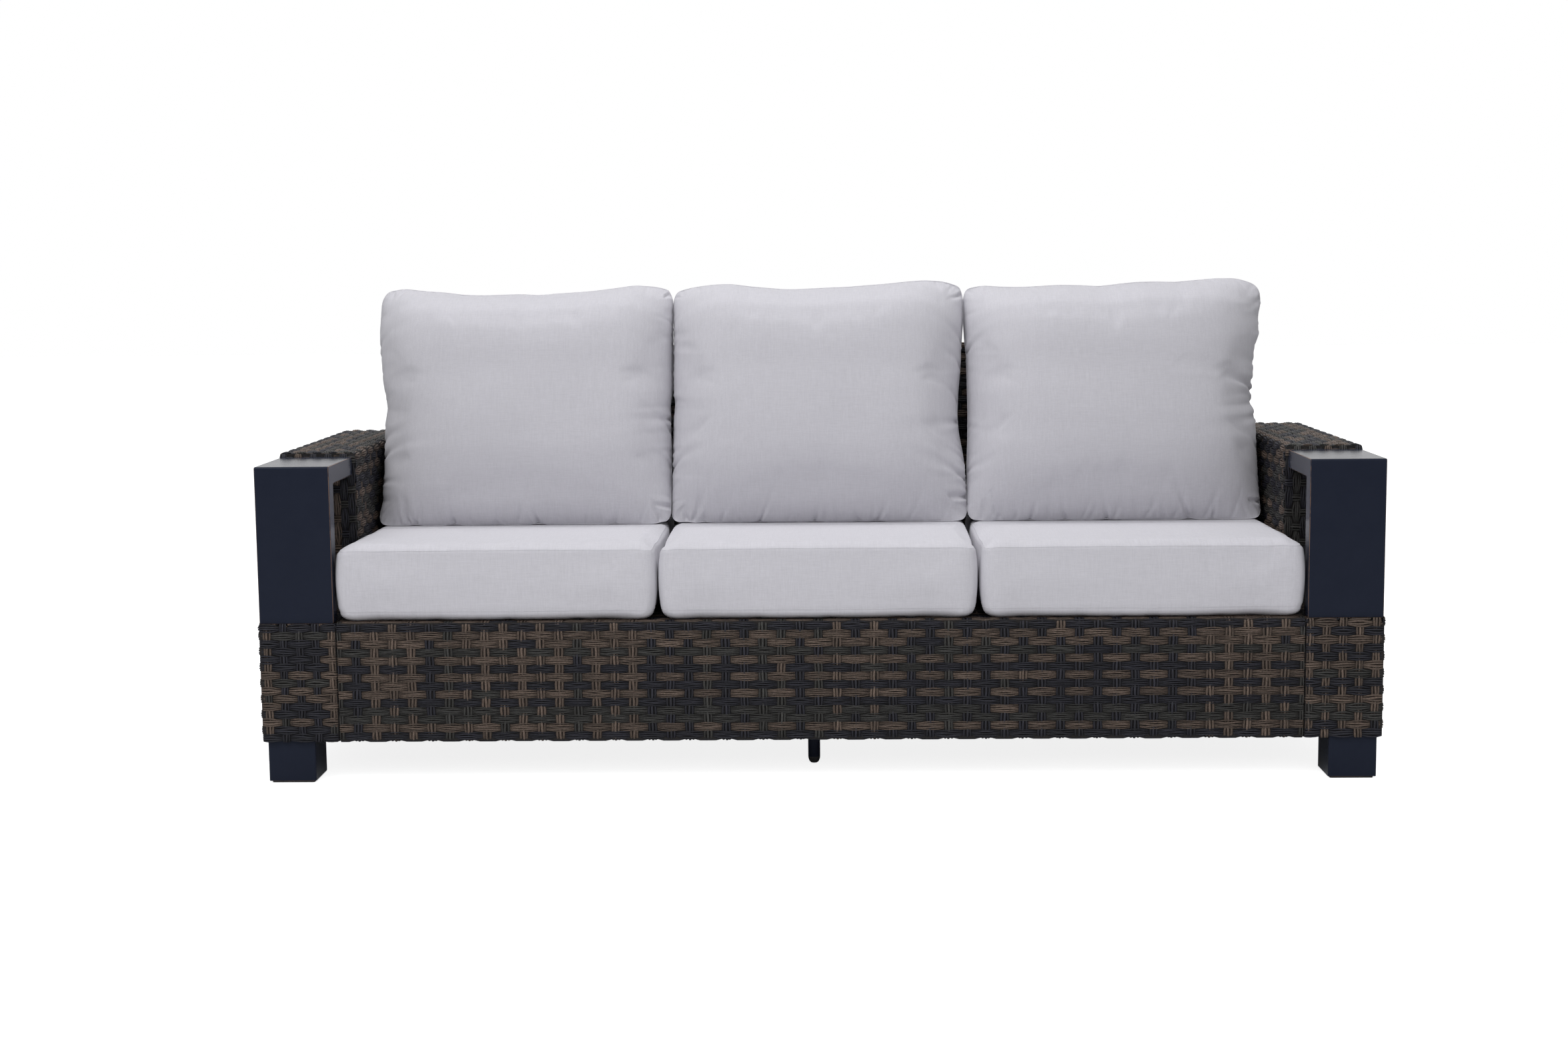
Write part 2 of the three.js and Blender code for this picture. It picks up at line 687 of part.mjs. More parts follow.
// The depth of the bottom seam, with the middle of the cushion's back against the panel.
function backCushionDepth() {
  const panelTop = backPanelBottom + backPanelLength * Math.cos(backLean);
  const half = backCushionHeight / 2;
  const shares = [-1, ...pillowShares.map((share) => -share), 0, ...[...pillowShares].reverse(), 1];
  const column = shares.map((share) => leant(0, half + share * (half - backCushionDraw), pillowHalf(0, share)));
  let farthest = -Infinity;
  column.slice(1).forEach((point, index) => {
    for (let step = 0; step <= columnSteps; step += 1) {
      const between = column[index].clone().lerp(point, step / columnSteps);
      const height = backCushionFoot + between.z;
      if (height <= panelTop) farthest = Math.max(farthest, between.y - backFaceAt(height));
    }
  });
  return -farthest - fitGap;
}

// A pillow with a knife edge that leans on the back panel, its underside flattened on the seat.
function backCushion() {
  const outline = cushionOutline(cushionWidth, backCushionHeight, backCushionCorner, backCushionDraw);
  const depth = backCushionDepth();
  const drawn = new THREE.Vector2(cushionWidth, backCushionHeight).divideScalar(2).subScalar(backCushionDraw);
  const ring = (share, side) =>
    outline.map((p) => {
      const across = share * Math.min(1, Math.abs(p.x) / drawn.x);
      const up = share * Math.min(1, Math.abs(p.y) / drawn.y);
      const back = side * pillowHalf(across, up);
      const point = leant(p.x * share, p.y * share + backCushionHeight / 2, back);
      return new THREE.Vector3(point.x, point.y + depth, Math.max(point.z + backCushionFoot, backCushionBase));
    });
  const middle = (side) => ring(0, side)[0];
  const inwards = [...pillowShares];
  const outwards = [...pillowShares].reverse();
  const rings = [
    ...outwards.map((share) => ring(share, -1)),
    ring(1, 0),
    ...inwards.map((share) => ring(share, 1)),
  ];
  return ringedGeometry(middle(-1), rings.map((points) => points.reverse()), middle(1));
}

function cushions() {
  const group = new THREE.Group();
  const places = ["left", "middle", "right"];
  const seatShape = solidOf(seatCushion());
  const backShape = solidOf(backCushion());
  places.forEach((place, index) => {
    const x = (index - (cushionCount - 1) / 2) * cushionPitch;
    const seatMesh = named(`seat_cushion_${place}`, seatShape, cushionCloth);
    seatMesh.position.set(x, seatCushionDepth / 2 - seatOverhang, 0);
    const backMesh = named(`back_cushion_${place}`, backShape, cushionCloth);
    backMesh.position.x = x;
    group.add(seatMesh, backMesh);
  });
  return group;
}

// The whole sofa, moved so that its origin is on the floor under its middle
const sofa = new THREE.Group();
sofa.add(arm("left"), arm("right"), seat(), apron(), back(), cushions());
sofa.position.y = -(armDepth - weaveFront) / 2;

export default sofa;
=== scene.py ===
import math
from contextlib import contextmanager

import bmesh
import bpy
import numpy as np
from mathutils import Matrix, Vector, bvhtree, kdtree


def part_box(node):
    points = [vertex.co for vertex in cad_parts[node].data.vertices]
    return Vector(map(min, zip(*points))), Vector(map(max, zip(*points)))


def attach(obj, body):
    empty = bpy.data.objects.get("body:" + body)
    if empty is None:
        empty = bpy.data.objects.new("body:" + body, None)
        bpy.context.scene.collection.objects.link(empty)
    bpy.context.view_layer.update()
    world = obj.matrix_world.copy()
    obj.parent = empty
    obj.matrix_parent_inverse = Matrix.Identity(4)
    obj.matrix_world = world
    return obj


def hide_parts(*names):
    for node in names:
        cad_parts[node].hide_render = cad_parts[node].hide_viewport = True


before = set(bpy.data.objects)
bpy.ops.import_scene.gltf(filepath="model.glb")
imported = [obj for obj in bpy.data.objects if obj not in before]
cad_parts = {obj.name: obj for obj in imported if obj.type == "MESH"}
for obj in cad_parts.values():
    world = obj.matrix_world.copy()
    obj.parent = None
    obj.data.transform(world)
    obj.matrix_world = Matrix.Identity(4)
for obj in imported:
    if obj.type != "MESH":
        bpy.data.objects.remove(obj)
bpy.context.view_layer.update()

MM = 0.001
PANEL_LEAN = math.radians(12)  # how far the back panel leans back
ALONG_X, ALONG_Y, UP = (1, 0, 0), (0, 1, 0), (0, 0, 1)
PANEL_UP = np.array([0, math.sin(PANEL_LEAN), math.cos(PANEL_LEAN)])
PANEL_BACK = np.array([0, math.cos(PANEL_LEAN), -math.sin(PANEL_LEAN)])
WELD = 0.01 * MM  # points of a CAD mesh that lie nearer than this are one


# Materials

class Graph:
    """A material's node tree with short ways to add to it."""

    def __init__(self, name):
        self.material = bpy.data.materials.new(name)
        self.material.use_nodes = True
        self.tree = self.material.node_tree
        self.tree.nodes.clear()
        self.output = self.tree.nodes.new("ShaderNodeOutputMaterial")

    def add(self, kind, sockets=None, **settings):
        node = self.tree.nodes.new("ShaderNode" + kind)
        for key, value in settings.items():
            setattr(node, key, value)
        for key, value in (sockets or {}).items():
            if isinstance(value, bpy.types.NodeSocket):
                self.tree.links.new(value, node.inputs[key])
            else:
                node.inputs[key].default_value = value
        return node

    def scaled(self, source, scale):
        return self.add("Mapping", {"Vector": source, "Scale": scale}).outputs[0]

    def noise(self, source, scale, detail=2.0, roughness=0.5):
        sockets = {"Vector": source, "Scale": scale, "Detail": detail, "Roughness": roughness}
        return self.add("TexNoise", sockets).outputs["Fac"]

    def math(self, operation, a, b=0.0, clamp=False):
        return self.add("Math", {0: a, 1: b}, operation=operation, use_clamp=clamp).outputs[0]

    def spread(self, value, low, high, to_low=0.0, to_high=1.0):
        sockets = {"Value": value, "From Min": low, "From Max": high, "To Min": to_low, "To Max": to_high}
        return self.add("MapRange", sockets).outputs[0]

    def mix(self, share, a, b, blend="MIX"):
        node = self.add("Mix", {0: share}, data_type="RGBA", blend_type=blend)
        for index, value in ((6, a), (7, b)):
            if isinstance(value, bpy.types.NodeSocket):
                self.tree.links.new(value, node.inputs[index])
            else:
                node.inputs[index].default_value = (*value, 1.0)
        return node.outputs[2]

    def bump(self, height, strength, distance, normal=None):
        sockets = {"Height": height, "Strength": strength, "Distance": distance}
        if normal is not None:
            sockets["Normal"] = normal
        return self.add("Bump", sockets).outputs[0]

    def surface(self, sockets):
        shader = self.add("BsdfPrincipled", sockets)
        self.tree.links.new(shader.outputs[0], self.output.inputs[0])
        return self.material


def place_socket(graph):
    return graph.add("TexCoord").outputs["Object"]


def linen_material(name, light):
    """Slubbed linen, of a lightness that is 1 on the seat cushions; a lower lightness is painted shade on the
    same fabric.
    """
    graph = Graph(name)
    place = place_socket(graph)
    weft = graph.noise(graph.scaled(place, (60, 1300, 1300)), 1.0, 3.0, 0.6)
    warp = graph.noise(graph.scaled(place, (1300, 60, 60)), 1.0, 3.0, 0.6)
    slub = graph.noise(graph.scaled(place, (22, 420, 420)), 1.0, 2.0, 0.5)
    slub_up = graph.noise(graph.scaled(place, (420, 22, 22)), 1.0, 2.0, 0.5)
    cloud = graph.noise(place, 6.0, 3.0, 0.5)
    fine = graph.math("ADD", weft, warp)
    threads = graph.math("ADD", fine, graph.math("MULTIPLY", graph.math("ADD", slub, slub_up), 0.5))
    tone = graph.spread(threads, 1.1, 1.9)
    colour = graph.mix(tone, (0.525, 0.515, 0.555), (0.635, 0.625, 0.67))
    colour = graph.mix(graph.spread(cloud, 0.3, 0.7, 0.0, 0.2), colour, (0.55, 0.545, 0.585))
    # A lightness below 1 is painted shade.
    colour = graph.mix(1.0, colour, (light, light, light), "MULTIPLY")
    return graph.surface({
        "Base Color": colour,
        "Roughness": 0.92,
        "Specular IOR Level": 0.2,
        "Sheen Weight": 0.15,
        "Sheen Roughness": 0.6,
        "Normal": graph.bump(threads, 0.2, 0.0005),
    })


def strand_material():
    """Resin whose colour each strand brings along, with painted shade already in it, and whose crests shine
    more than its sides.
    """
    graph = Graph("resin_strands")
    tinted = graph.add("Attribute", attribute_name="tint")
    tint, crest = tinted.outputs["Color"], tinted.outputs["Alpha"]
    along = graph.add("UVMap", uv_map="strand").outputs[0]
    fibre = graph.noise(graph.scaled(along, (150, 620, 1)), 1.0, 4.0, 0.75)
    grains = graph.noise(graph.scaled(along, (640, 640, 1)), 1.0, 2.0, 0.8)
    shade = graph.math("ADD", graph.math("MULTIPLY", fibre, 0.5), graph.math("MULTIPLY", grains, 0.5))
    light = graph.spread(shade, 0.38, 0.62, 0.3, 1.75)
    grey = graph.add("CombineColor", {0: light, 1: light, 2: light}).outputs[0]
    colour = graph.mix(1.0, tint, grey, "MULTIPLY")
    return graph.surface({
        "Base Color": colour,
        "Roughness": graph.spread(shade, 0.3, 0.7, 0.6, 0.42),
        "Specular IOR Level": graph.spread(crest, 0.0, 1.0, 0.05, 0.35),
        "Normal": graph.bump(shade, 0.9, 0.0012),
    })


def shade_sheet_material():
    # Near-black with a fibre grain: painted shade for the dark inside of the weave.
    graph = Graph("resin_backing")
    place = place_socket(graph)
    fibre = graph.noise(graph.scaled(place, (160, 160, 420)), 1.0, 3.0, 0.6)
    colour = graph.mix(fibre, (0.008, 0.008, 0.009), (0.028, 0.024, 0.022))
    return graph.surface({
        "Base Color": colour,
        "Roughness": 0.8,
        "Specular IOR Level": 0.2,
        "Normal": graph.bump(fibre, 0.5, 0.001),
    })


def bronze_material():
    """Dark paint that goes pale only at a grazing angle."""
    graph = Graph("bronze_powder_coat")
    place = place_socket(graph)
    grain = graph.noise(place, 1400.0, 2.0, 0.5)
    cloud = graph.noise(place, 18.0, 4.0, 0.6)
    colour = graph.mix(graph.spread(cloud, 0.3, 0.7), (0.0148, 0.0182, 0.0312), (0.0162, 0.0198, 0.0334))
    return graph.surface({
        "Base Color": colour,
        "Specular Tint": (0.11, 0.12, 0.14, 1.0),
        "Roughness": graph.spread(cloud, 0.3, 0.7, 0.19, 0.22),
        "Normal": graph.bump(grain, 0.05, 0.0002),
    })


def rubbed_material():
    """The edges of the metal, where copper shows through the paint in places."""
    graph = Graph("rubbed_copper_edge")
    place = place_socket(graph)
    rub = graph.noise(place, 38.0, 4.0, 0.65)
    grain = graph.noise(place, 700.0, 2.0, 0.5)
    worn = graph.spread(graph.math("ADD", rub, graph.math("MULTIPLY", grain, 0.25)), 0.44, 0.64)
    colour = graph.mix(worn, (0.02, 0.02, 0.028), (0.24, 0.145, 0.095))
    return graph.surface({
        "Base Color": colour,
        "Metallic": 0.2,
        "Specular IOR Level": 0.3,
        "Roughness": graph.spread(grain, 0.3, 0.7, 0.36, 0.5),
    })


def aluminium_material():
    graph = Graph("mill_aluminium")
    place = place_socket(graph)
    streak = graph.noise(graph.scaled(place, (30, 30, 700)), 1.0, 2.0, 0.5)
    cloud = graph.noise(place, 9.0, 3.0, 0.5)
    colour = graph.mix(cloud, (0.36, 0.36, 0.37), (0.46, 0.46, 0.47))
    return graph.surface({
        "Base Color": colour,
        "Metallic": 0.95,
        "Roughness": graph.spread(streak, 0.3, 0.7, 0.36, 0.55),
        "Normal": graph.bump(streak, 0.1, 0.0003),
    })


def steel_material():
    graph = Graph("zinc_steel")
    place = place_socket(graph)
    spangle = graph.add("TexVoronoi", {"Vector": place, "Scale": 420.0}).outputs["Distance"]
    colour = graph.mix(graph.spread(spangle, 0.0, 0.8), (0.40, 0.40, 0.41), (0.52, 0.52, 0.53))
    return graph.surface({
        "Base Color": colour,
        "Metallic": 1.0,
        "Roughness": graph.spread(spangle, 0.0, 0.8, 0.28, 0.45),
    })


def plastic_material():
    graph = Graph("glide_plastic")
    place = place_socket(graph)
    grain = graph.noise(place, 900.0, 2.0, 0.5)
    colour = graph.mix(grain, (0.012, 0.012, 0.013), (0.024, 0.024, 0.025))
    return graph.surface({
        "Base Color": colour,
        "Roughness": graph.spread(grain, 0.3, 0.7, 0.5, 0.7),
        "Normal": graph.bump(grain, 0.2, 0.0002),
    })


LINEN = linen_material("linen", 1.0)
# The back cushions' linen is the seat cushions' linen darkened by painted shade.
BACK_LINEN_PAINTED_SHADE = linen_material("back_linen", 0.93)
STRANDS = strand_material()
SHADE_SHEET = shade_sheet_material()
BRONZE = bronze_material()
RUBBED = rubbed_material()
ALUMINIUM = aluminium_material()
STEEL = steel_material()
PLASTIC = plastic_material()


# Meshes

def placed(name, data):
    """A new object in the scene."""
    thing = bpy.data.objects.new(name, data)
    bpy.context.scene.collection.objects.link(thing)
    return thing


def mesh_object(name, points, faces, material):
    """An object from arrays of points and of faces that all have as many corners."""
    points = np.asarray(points, np.float32).reshape(-1, 3)
    faces = np.asarray(faces, np.int32)
    corners = faces.shape[1]
    mesh = bpy.data.meshes.new(name)
    mesh.vertices.add(len(points))
    mesh.vertices.foreach_set("co", points.ravel())
    mesh.loops.add(faces.size)
    mesh.loops.foreach_set("vertex_index", faces.ravel())
    mesh.polygons.add(len(faces))
    mesh.polygons.foreach_set("loop_start", np.arange(0, faces.size, corners, dtype=np.int32))
    mesh.polygons.foreach_set("use_smooth", np.ones(len(faces), bool))
    mesh.update(calc_edges=True)
    mesh.validate()
    mesh.materials.append(material)
    return placed(name, mesh)


def recovered(node, suffix, *materials):
    """A new piece on a copy of a CAD node's mesh, with other materials."""
    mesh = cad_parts[node].data.copy()
    mesh.materials.clear()
    for material in materials:
        mesh.materials.append(material)
    return placed(node + suffix, mesh)


@contextmanager
def reshaped(mesh):
    """The mesh in a form that can be changed, put back at the end."""
    shape = bmesh.new()
    shape.from_mesh(mesh)
    yield shape
    shape.to_mesh(mesh)
    shape.free()


def vectors_of(piece, key):
    vectors = np.empty(len(piece.data.vertices) * 3, np.float32)
    piece.data.vertices.foreach_get(key, vectors)
    return vectors.reshape(-1, 3).astype(float)


def points_of(piece):
    return vectors_of(piece, "co")


def normals_of(piece):
    return vectors_of(piece, "normal")


def set_points(piece, points):
    piece.data.vertices.foreach_set("co", np.asarray(points, np.float32).ravel())
    piece.data.update()


def applied(piece):
    """Makes what the piece's modifiers show its own mesh."""
    shown = piece.evaluated_get(bpy.context.evaluated_depsgraph_get())
    mesh = bpy.data.meshes.new_from_object(shown)
    piece.modifiers.clear()
    old = piece.data
    piece.data = mesh
    bpy.data.meshes.remove(old)


def smoothstep(low, high, value):
    share = np.clip((np.asarray(value, float) - low) / (high - low), 0, 1)
    return share * share * (3 - 2 * share)


# Weave

BROWN = (0.110, 0.080, 0.063)
BLACK = (0.014, 0.014, 0.021)
GREY = (0.035, 0.034, 0.032)
PALETTE = (BROWN, BLACK, GREY)
SUNK = 4.5 * MM  # how far the near-black sheet of painted shade lies under the strands' mean surface
PATH_STEP = 2 * MM  # about the step along a path's straight stretches
ARC_STEPS = 8  # in each of its corners

# A float, from its middle (0) to its ends (1)
NARROWS = (0.05, 0.8)  # where it narrows
DIVES = (0.5, 1.0)  # where it goes down under the binders
PAINTED_SHADE_SPAN = (0.55, 0.95)  # where it gets darker with painted shade, as it goes under the binders
PAINTED_END_SHADE = 0.62  # how much darker it gets with painted shade
ARCH = 0.3  # how much of its rise is lost towards its ends
STRAND_FULL, STRAND_SPREAD, LEAST_NARROW = 0.9, 0.28, 0.72  # how wide its strands are along it
STRAND_MAP_STEP = 0.013  # from strand to strand on the material's map
THICKNESS, SEATED = 2 * MM, 0.55  # of a strand, and the share of it that lies low
EDGE_DROP, PAINTED_EDGE_SHADE = 0.9 * MM, 0.22  # how much lower the outer strands of a float are, and how much darker with painted shade
PAINTED_CREVICE_LIGHT, ROUNDNESS = 0.12, 0.9  # painted shade: light on a strand's sides, of that on its crest, and how it fades

# A binder, which holds the floats down
BINDER_LONG, BINDER_WIDE = 2.1, 0.52  # over the rows' and the columns' pitch
BINDER_ENDS = 0.92
BINDER_RISE, BINDER_DIP = 1.3 * MM, 3.4 * MM
BINDER_STRANDS = 3
FLOAT_DIP = 4 * MM

# What differs by chance from float to float and from strand to strand
STRAY, STRAY_LENGTH = 0.65 * MM, 9 * MM  # how strands wander sideways
WOBBLE, UNEVEN = 0.3 * MM, 0.15 * MM  # how floats lie off their place, along and in height
PAST_EDGE = 0.6 * MM  # how far they may reach beyond the weave
STRAND_LIGHT, FLOAT_LIGHT = (0.72, 1.28), (0.84, 1.16)  # how much darker or lighter they are

random_draws = np.random.default_rng(11)


class Path:
    """A line in a plane with rounded corners, measured along its length."""

    def __init__(self, corners, radius, closed=False):
        corners = [np.array(corner, float) for corner in corners]
        count = len(corners)
        points, normals = [], []

        def straight(a, b):
            steps = max(2, int(np.linalg.norm(b - a) / PATH_STEP))
            way = (b - a) / np.linalg.norm(b - a)
            for step in range(steps + 1):
                points.append(a + (b - a) * step / steps)
                normals.append(np.array([way[1], -way[0]]))

        def turned(index):
            before, here, after = corners[index - 1], corners[index], corners[(index + 1) % count]
            into = (here - before) / np.linalg.norm(here - before)
            out = (after - here) / np.linalg.norm(after - here)
            return here - into * radius, here + out * radius, into, out

        def arc(index):
            start, end, into, out = turned(index)
            side = np.sign(into[0] * out[1] - into[1] * out[0])
            middle = start + np.array([-into[1], into[0]]) * side * radius
            first = math.atan2(*(start - middle)[::-1])
            for step in range(1, ARC_STEPS):
                angle = first + side * math.pi / 2 * step / ARC_STEPS
                way = np.array([math.cos(angle), math.sin(angle)])
                points.append(middle + radius * way)
                normals.append(way * side)

        place = turned(0)[1] if closed else corners[0]
        for index in [*range(1, count), 0] if closed else range(1, count - 1):
            start, end = turned(index)[:2]
            straight(place, start)
            arc(index)
            place = end
        if closed:
            points.append(points[0])
            normals.append(normals[0])
        else:
            straight(place, corners[-1])
        self.points, self.normals = np.array(points), np.array(normals)
        steps = np.linalg.norm(np.diff(self.points, axis=0), axis=1)
        self.lengths = np.concatenate([[0], np.cumsum(steps)])
        self.length = self.lengths[-1]

    def at(self, along):
        along = np.clip(along, 0, self.length)
        pick = lambda values: np.interp(along, self.lengths, values)
        place = np.stack([pick(self.points[:, 0]), pick(self.points[:, 1])], -1)
        normal = np.stack([pick(self.normals[:, 0]), pick(self.normals[:, 1])], -1)
        return place, normal / np.linalg.norm(normal, axis=-1, keepdims=True)


class Skin:
    """A surface swept from a path in the plane of two directions, along a third."""

    def __init__(self, path, first, second, sweep, origin, length):
        self.path, self.length = path, length
        self.first, self.second, self.sweep = (np.array(v, float) for v in (first, second, sweep))
        self.origin = np.array(origin, float)

    def at(self, along, across, height):
        place, normal = self.path.at(along)
        spot = self.origin + place[..., :1] * self.first + place[..., 1:] * self.second
        facing = normal[..., :1] * self.first + normal[..., 1:] * self.second
        return spot + across[..., None] * self.sweep + height[..., None] * facing


def strand_template(length, width, ends, rise, dip, strands, samples, sides):
    """One float of side-by-side strands.

    Gives the places along, across and out of the surface, the map, the painted shade, how many points each
    strand has and the faces.
    """
    share = np.linspace(-1, 1, samples)
    spread = ends + (1 - ends) * (1 - smoothstep(*NARROWS, np.abs(share)))
    fall = smoothstep(*DIVES, np.abs(share))
    turn = np.linspace(0, math.pi, sides + 1)
    each = width / strands
    along, across, out, where, shade = [], [], [], [], []
    for index in range(strands):
        offset = index - (strands - 1) / 2
        edge = abs(offset) / max(1, (strands - 1) / 2)
        lift = (rise - EDGE_DROP * edge * edge) * (1 - ARCH * share * share) - (rise + dip) * fall
        for place, narrow, height in zip(share, spread, lift):
            half = each / 2 * (STRAND_FULL + STRAND_SPREAD * (1 - narrow)) * max(narrow, LEAST_NARROW)
            along.append(np.full(sides + 1, place * length / 2))
            across.append(offset * each * narrow - half * np.cos(turn))
            out.append(height + THICKNESS * (np.sin(turn) - SEATED))
            where.append(np.stack([along[-1] + length, across[-1] + index * STRAND_MAP_STEP], -1))
            # Painted shade where the float goes under the binders, in the crevices between strands and on the
            # outer strands.
            painted_end_light = 1 - PAINTED_END_SHADE * smoothstep(*PAINTED_SHADE_SPAN, abs(place))
            crest = PAINTED_CREVICE_LIGHT + (1 - PAINTED_CREVICE_LIGHT) * np.sin(turn) ** ROUNDNESS
            shade.append(crest * painted_end_light * (1 - PAINTED_EDGE_SHADE * edge ** 3))
    faces = []
    for index in range(strands):
        for number in range(samples - 1):
            for side in range(sides):
                low = (index * samples + number) * (sides + 1) + side
                faces.append((low, low + sides + 1, low + sides + 2, low + 1))
    parts = (np.concatenate(values) for values in (along, across, out, where, shade))
    return *parts, samples * (sides + 1), np.array(faces)


def weave(name, skin, floats_along_path, pitch, row, tones, strands=4, fine=True, ends=0.7, full=1.1,
          rise=1.8 * MM, sink=0.0, below=math.inf):
    """Plain weave of strand bundles on a skin. Floats run along the path, or else along its sweep.

    Pitch and row are roughly the distances between binders and between rows. Tones are two functions that
    give the colours of the floats and of the binders. The floats narrow to the share called ends and are as
    wide as full rows. No strand reaches above the height called below.
    """
    draws = random_draws
    lengths = [skin.path.length, skin.length]
    float_length, row_length = lengths if floats_along_path else lengths[::-1]
    columns = max(2, round(float_length / pitch))
    rows = max(1, round(row_length / row))
    pitch, row = float_length / columns, row_length / rows
    samples, binder_samples, sides = (8, 6, 4) if fine else (7, 5, 3)
    weft = strand_template(2 * pitch, row * full, ends, rise, FLOAT_DIP, strands, samples, sides)
    warp = strand_template(row * BINDER_LONG, pitch * BINDER_WIDE, BINDER_ENDS, BINDER_RISE, BINDER_DIP,
                           BINDER_STRANDS, binder_samples, sides)
    points, faces, maps, tints_and_painted_shade = [], [], [], []
    total = 0

    def on_skin(a, b, height):
        return skin.at(a, b, height) if floats_along_path else skin.at(b, a, height)

    # Three places near the middle tell whether the faces of the template come out turned over.
    corner = np.array([[0.4, 0.4], [0.41, 0.4], [0.4, 0.41]]) * [float_length, row_length]
    spots = on_skin(*corner.T, np.zeros(3))
    above = on_skin(*corner.T, np.full(3, MM))[0] - spots[0]
    mirrored = np.dot(np.cross(spots[1] - spots[0], spots[2] - spots[0]), above) < 0

    def put(template, first, second, swapped, tone):
        nonlocal total
        along, across, out, where, shade, each, quads = template

        def by_strand(low, high):
            return np.repeat(draws.uniform(low, high, len(along) // each), each)

        wobble = draws.normal(0, WOBBLE, 2)
        a = first + (across if swapped else along) + (0 if swapped else wobble[0])
        b = second + (along if swapped else across) + wobble[1] / 2
        stray = STRAY * np.sin(along / STRAY_LENGTH + by_strand(0, 6))
        if swapped:
            a = a + stray
        else:
            b = b + stray * by_strand(0.3, 1.4)
        a = np.clip(a, 0, float_length)
        b = np.clip(b, -PAST_EDGE, row_length + PAST_EDGE)
        spot = on_skin(a, b, out - sink + draws.normal(0, UNEVEN))
        spot[:, 2] = np.minimum(spot[:, 2], below)
        points.append(spot)
        faces.append((quads[:, ::-1] if mirrored != swapped else quads) + total)
        maps.append(where + draws.uniform(0, 50, 2))
        # Painted shade from the template, times the random tone of each strand and float.
        light = shade * by_strand(*STRAND_LIGHT) * draws.uniform(*FLOAT_LIGHT)
        tints_and_painted_shade.append(np.column_stack([np.array(tone) * light[:, None], shade]))
        total += len(along)

    for i in range(rows):
        for j in range(columns + 1):
            a, b = j * pitch, (i + 0.5) * row
            if (i + j) % 2 == 0:
                put(weft, a, b, False, tones[0](i, j, draws))
            else:
                put(warp, a, b, True, tones[1](i, j, draws))
    piece = mesh_object(name, np.concatenate(points), np.concatenate(faces), STRANDS)
    mesh = piece.data
    # The colour attribute holds the strands' tones with painted shade multiplied in, and the painted shade
    # alone in its alpha.
    tint = mesh.attributes.new("tint", "FLOAT_COLOR", "POINT")
    tint.data.foreach_set("color", np.concatenate(tints_and_painted_shade).astype(np.float32).ravel())
    strand_map = mesh.uv_layers.new(name="strand")
    corner = np.empty(len(mesh.loops), np.int32)
    mesh.loops.foreach_get("vertex_index", corner)
    strand_map.uv.foreach_set("vector", np.concatenate(maps)[corner].astype(np.float32).ravel())
    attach(piece, "frame")


def shade_sheet(node):
    """A near-black sheet a little under the strands, in the place of a woven CAD skin: painted shade that
    shows through the gaps of the weave.
    """
    piece = recovered(node, "_backing", SHADE_SHEET)
    with reshaped(piece.data) as shape:
        bmesh.ops.remove_doubles(shape, verts=shape.verts, dist=WELD)
        bmesh.ops.recalc_face_normals(shape, faces=shape.faces)
        # Each corner moves so that the planes of its faces all move inwards by the same depth.
        moves = []
        for vertex in shape.verts:
            planes = []
            for face in vertex.link_faces:
                if all(face.normal.dot(plane) < 0.999 for plane in planes):
                    planes.append(face.normal.copy())
            rows = np.array([list(plane) for plane in planes])
            step = np.linalg.lstsq(rows, np.full(len(rows), -SUNK), rcond=0.05)[0]
            step *= min(1.0, 2 * SUNK / np.linalg.norm(step))
            if node == "apron_weave":
                step[0] = 0
            moves.append(step)
        for vertex, step in zip(shape.verts, moves):
            vertex.co += Vector(step)
    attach(piece, "frame")
    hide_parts(node)


def stripes(weights, seed):
    """The tones of rows or columns, drawn from brown, black and grey with these weights."""
    drawn = np.random.default_rng(seed).choice(len(PALETTE), MOST_STRIPES, p=weights)
    return [PALETTE[number] for number in drawn]


def spelled(letters):
    """Tones from a word with one letter each: B brown, K black, G grey."""
    return [PALETTE["BKG".index(letter)] for letter in letters]


def mixed(rows, columns, row_swap, column_swap):
    """Tones of floats by their row and of binders by their column, with the shares that get another."""
    def pick(tone, swap, draws):
        return PALETTE[draws.integers(len(PALETTE))] if draws.random() < swap else tone

    return (lambda i, j, draws: pick(rows[i % len(rows)], row_swap, draws),
            lambda i, j, draws: pick(columns[j % len(columns)], column_swap, draws))


def hidden_tones(seed):
    """Drawn tones for a weave that the photograph hides."""
    rows, columns = (stripes((0.4, 0.36, 0.24), seed + number) for number in range(2))
    return mixed(rows, columns, 0.08, 0.08)


MOST_STRIPES = 80  # rows or columns with drawn tones, before the tones come again
EDGE = 9 * MM  # how round the woven edges are
SMALL_EDGE = 4 * MM  # the same where two skins of an arm meet
TURNED_IN = 20 * MM  # how far a skin goes on round an edge, out of sight
SHELF_TURNED_IN, RIM_TURNED_IN = 12 * MM, 13 * MM
WRAPPED = 60 * MM  # how far the low skin of an arm goes on round its inner edges
SKIN_GAP = 0.3 * MM  # from an arm's skins to its metal cap
APRON_ROWS = spelled("BBKBBGBKBKBKGGBKK")
APRON_COLUMNS = spelled("GKBBBKGBBBBBBGBBBKKKGKKGGK" + "GBKBKKKG" + "K" * 13 + "BBBBB")
APRON_OVER = 1.8 * MM  # how far the apron's strands reach beyond its ends
ARMS = {
    "left": {"sign": -1, "rows": spelled("BKGBKKKBGBBBKBKK"), "columns": spelled("KBBKK"),
             "inside": spelled("KKBKK"), "row": 15.6 * MM, "seed": 5},
    "right": {"sign": 1, "rows": spelled("KBBKBKKBGKKBGGBK"), "columns": spelled("BBBBB"),
              "inside": spelled("KGKKKBKGK"), "row": 17 * MM, "seed": 6},
}
ARM_PITCH, ARM_ROW = 31 * MM, 16.2 * MM


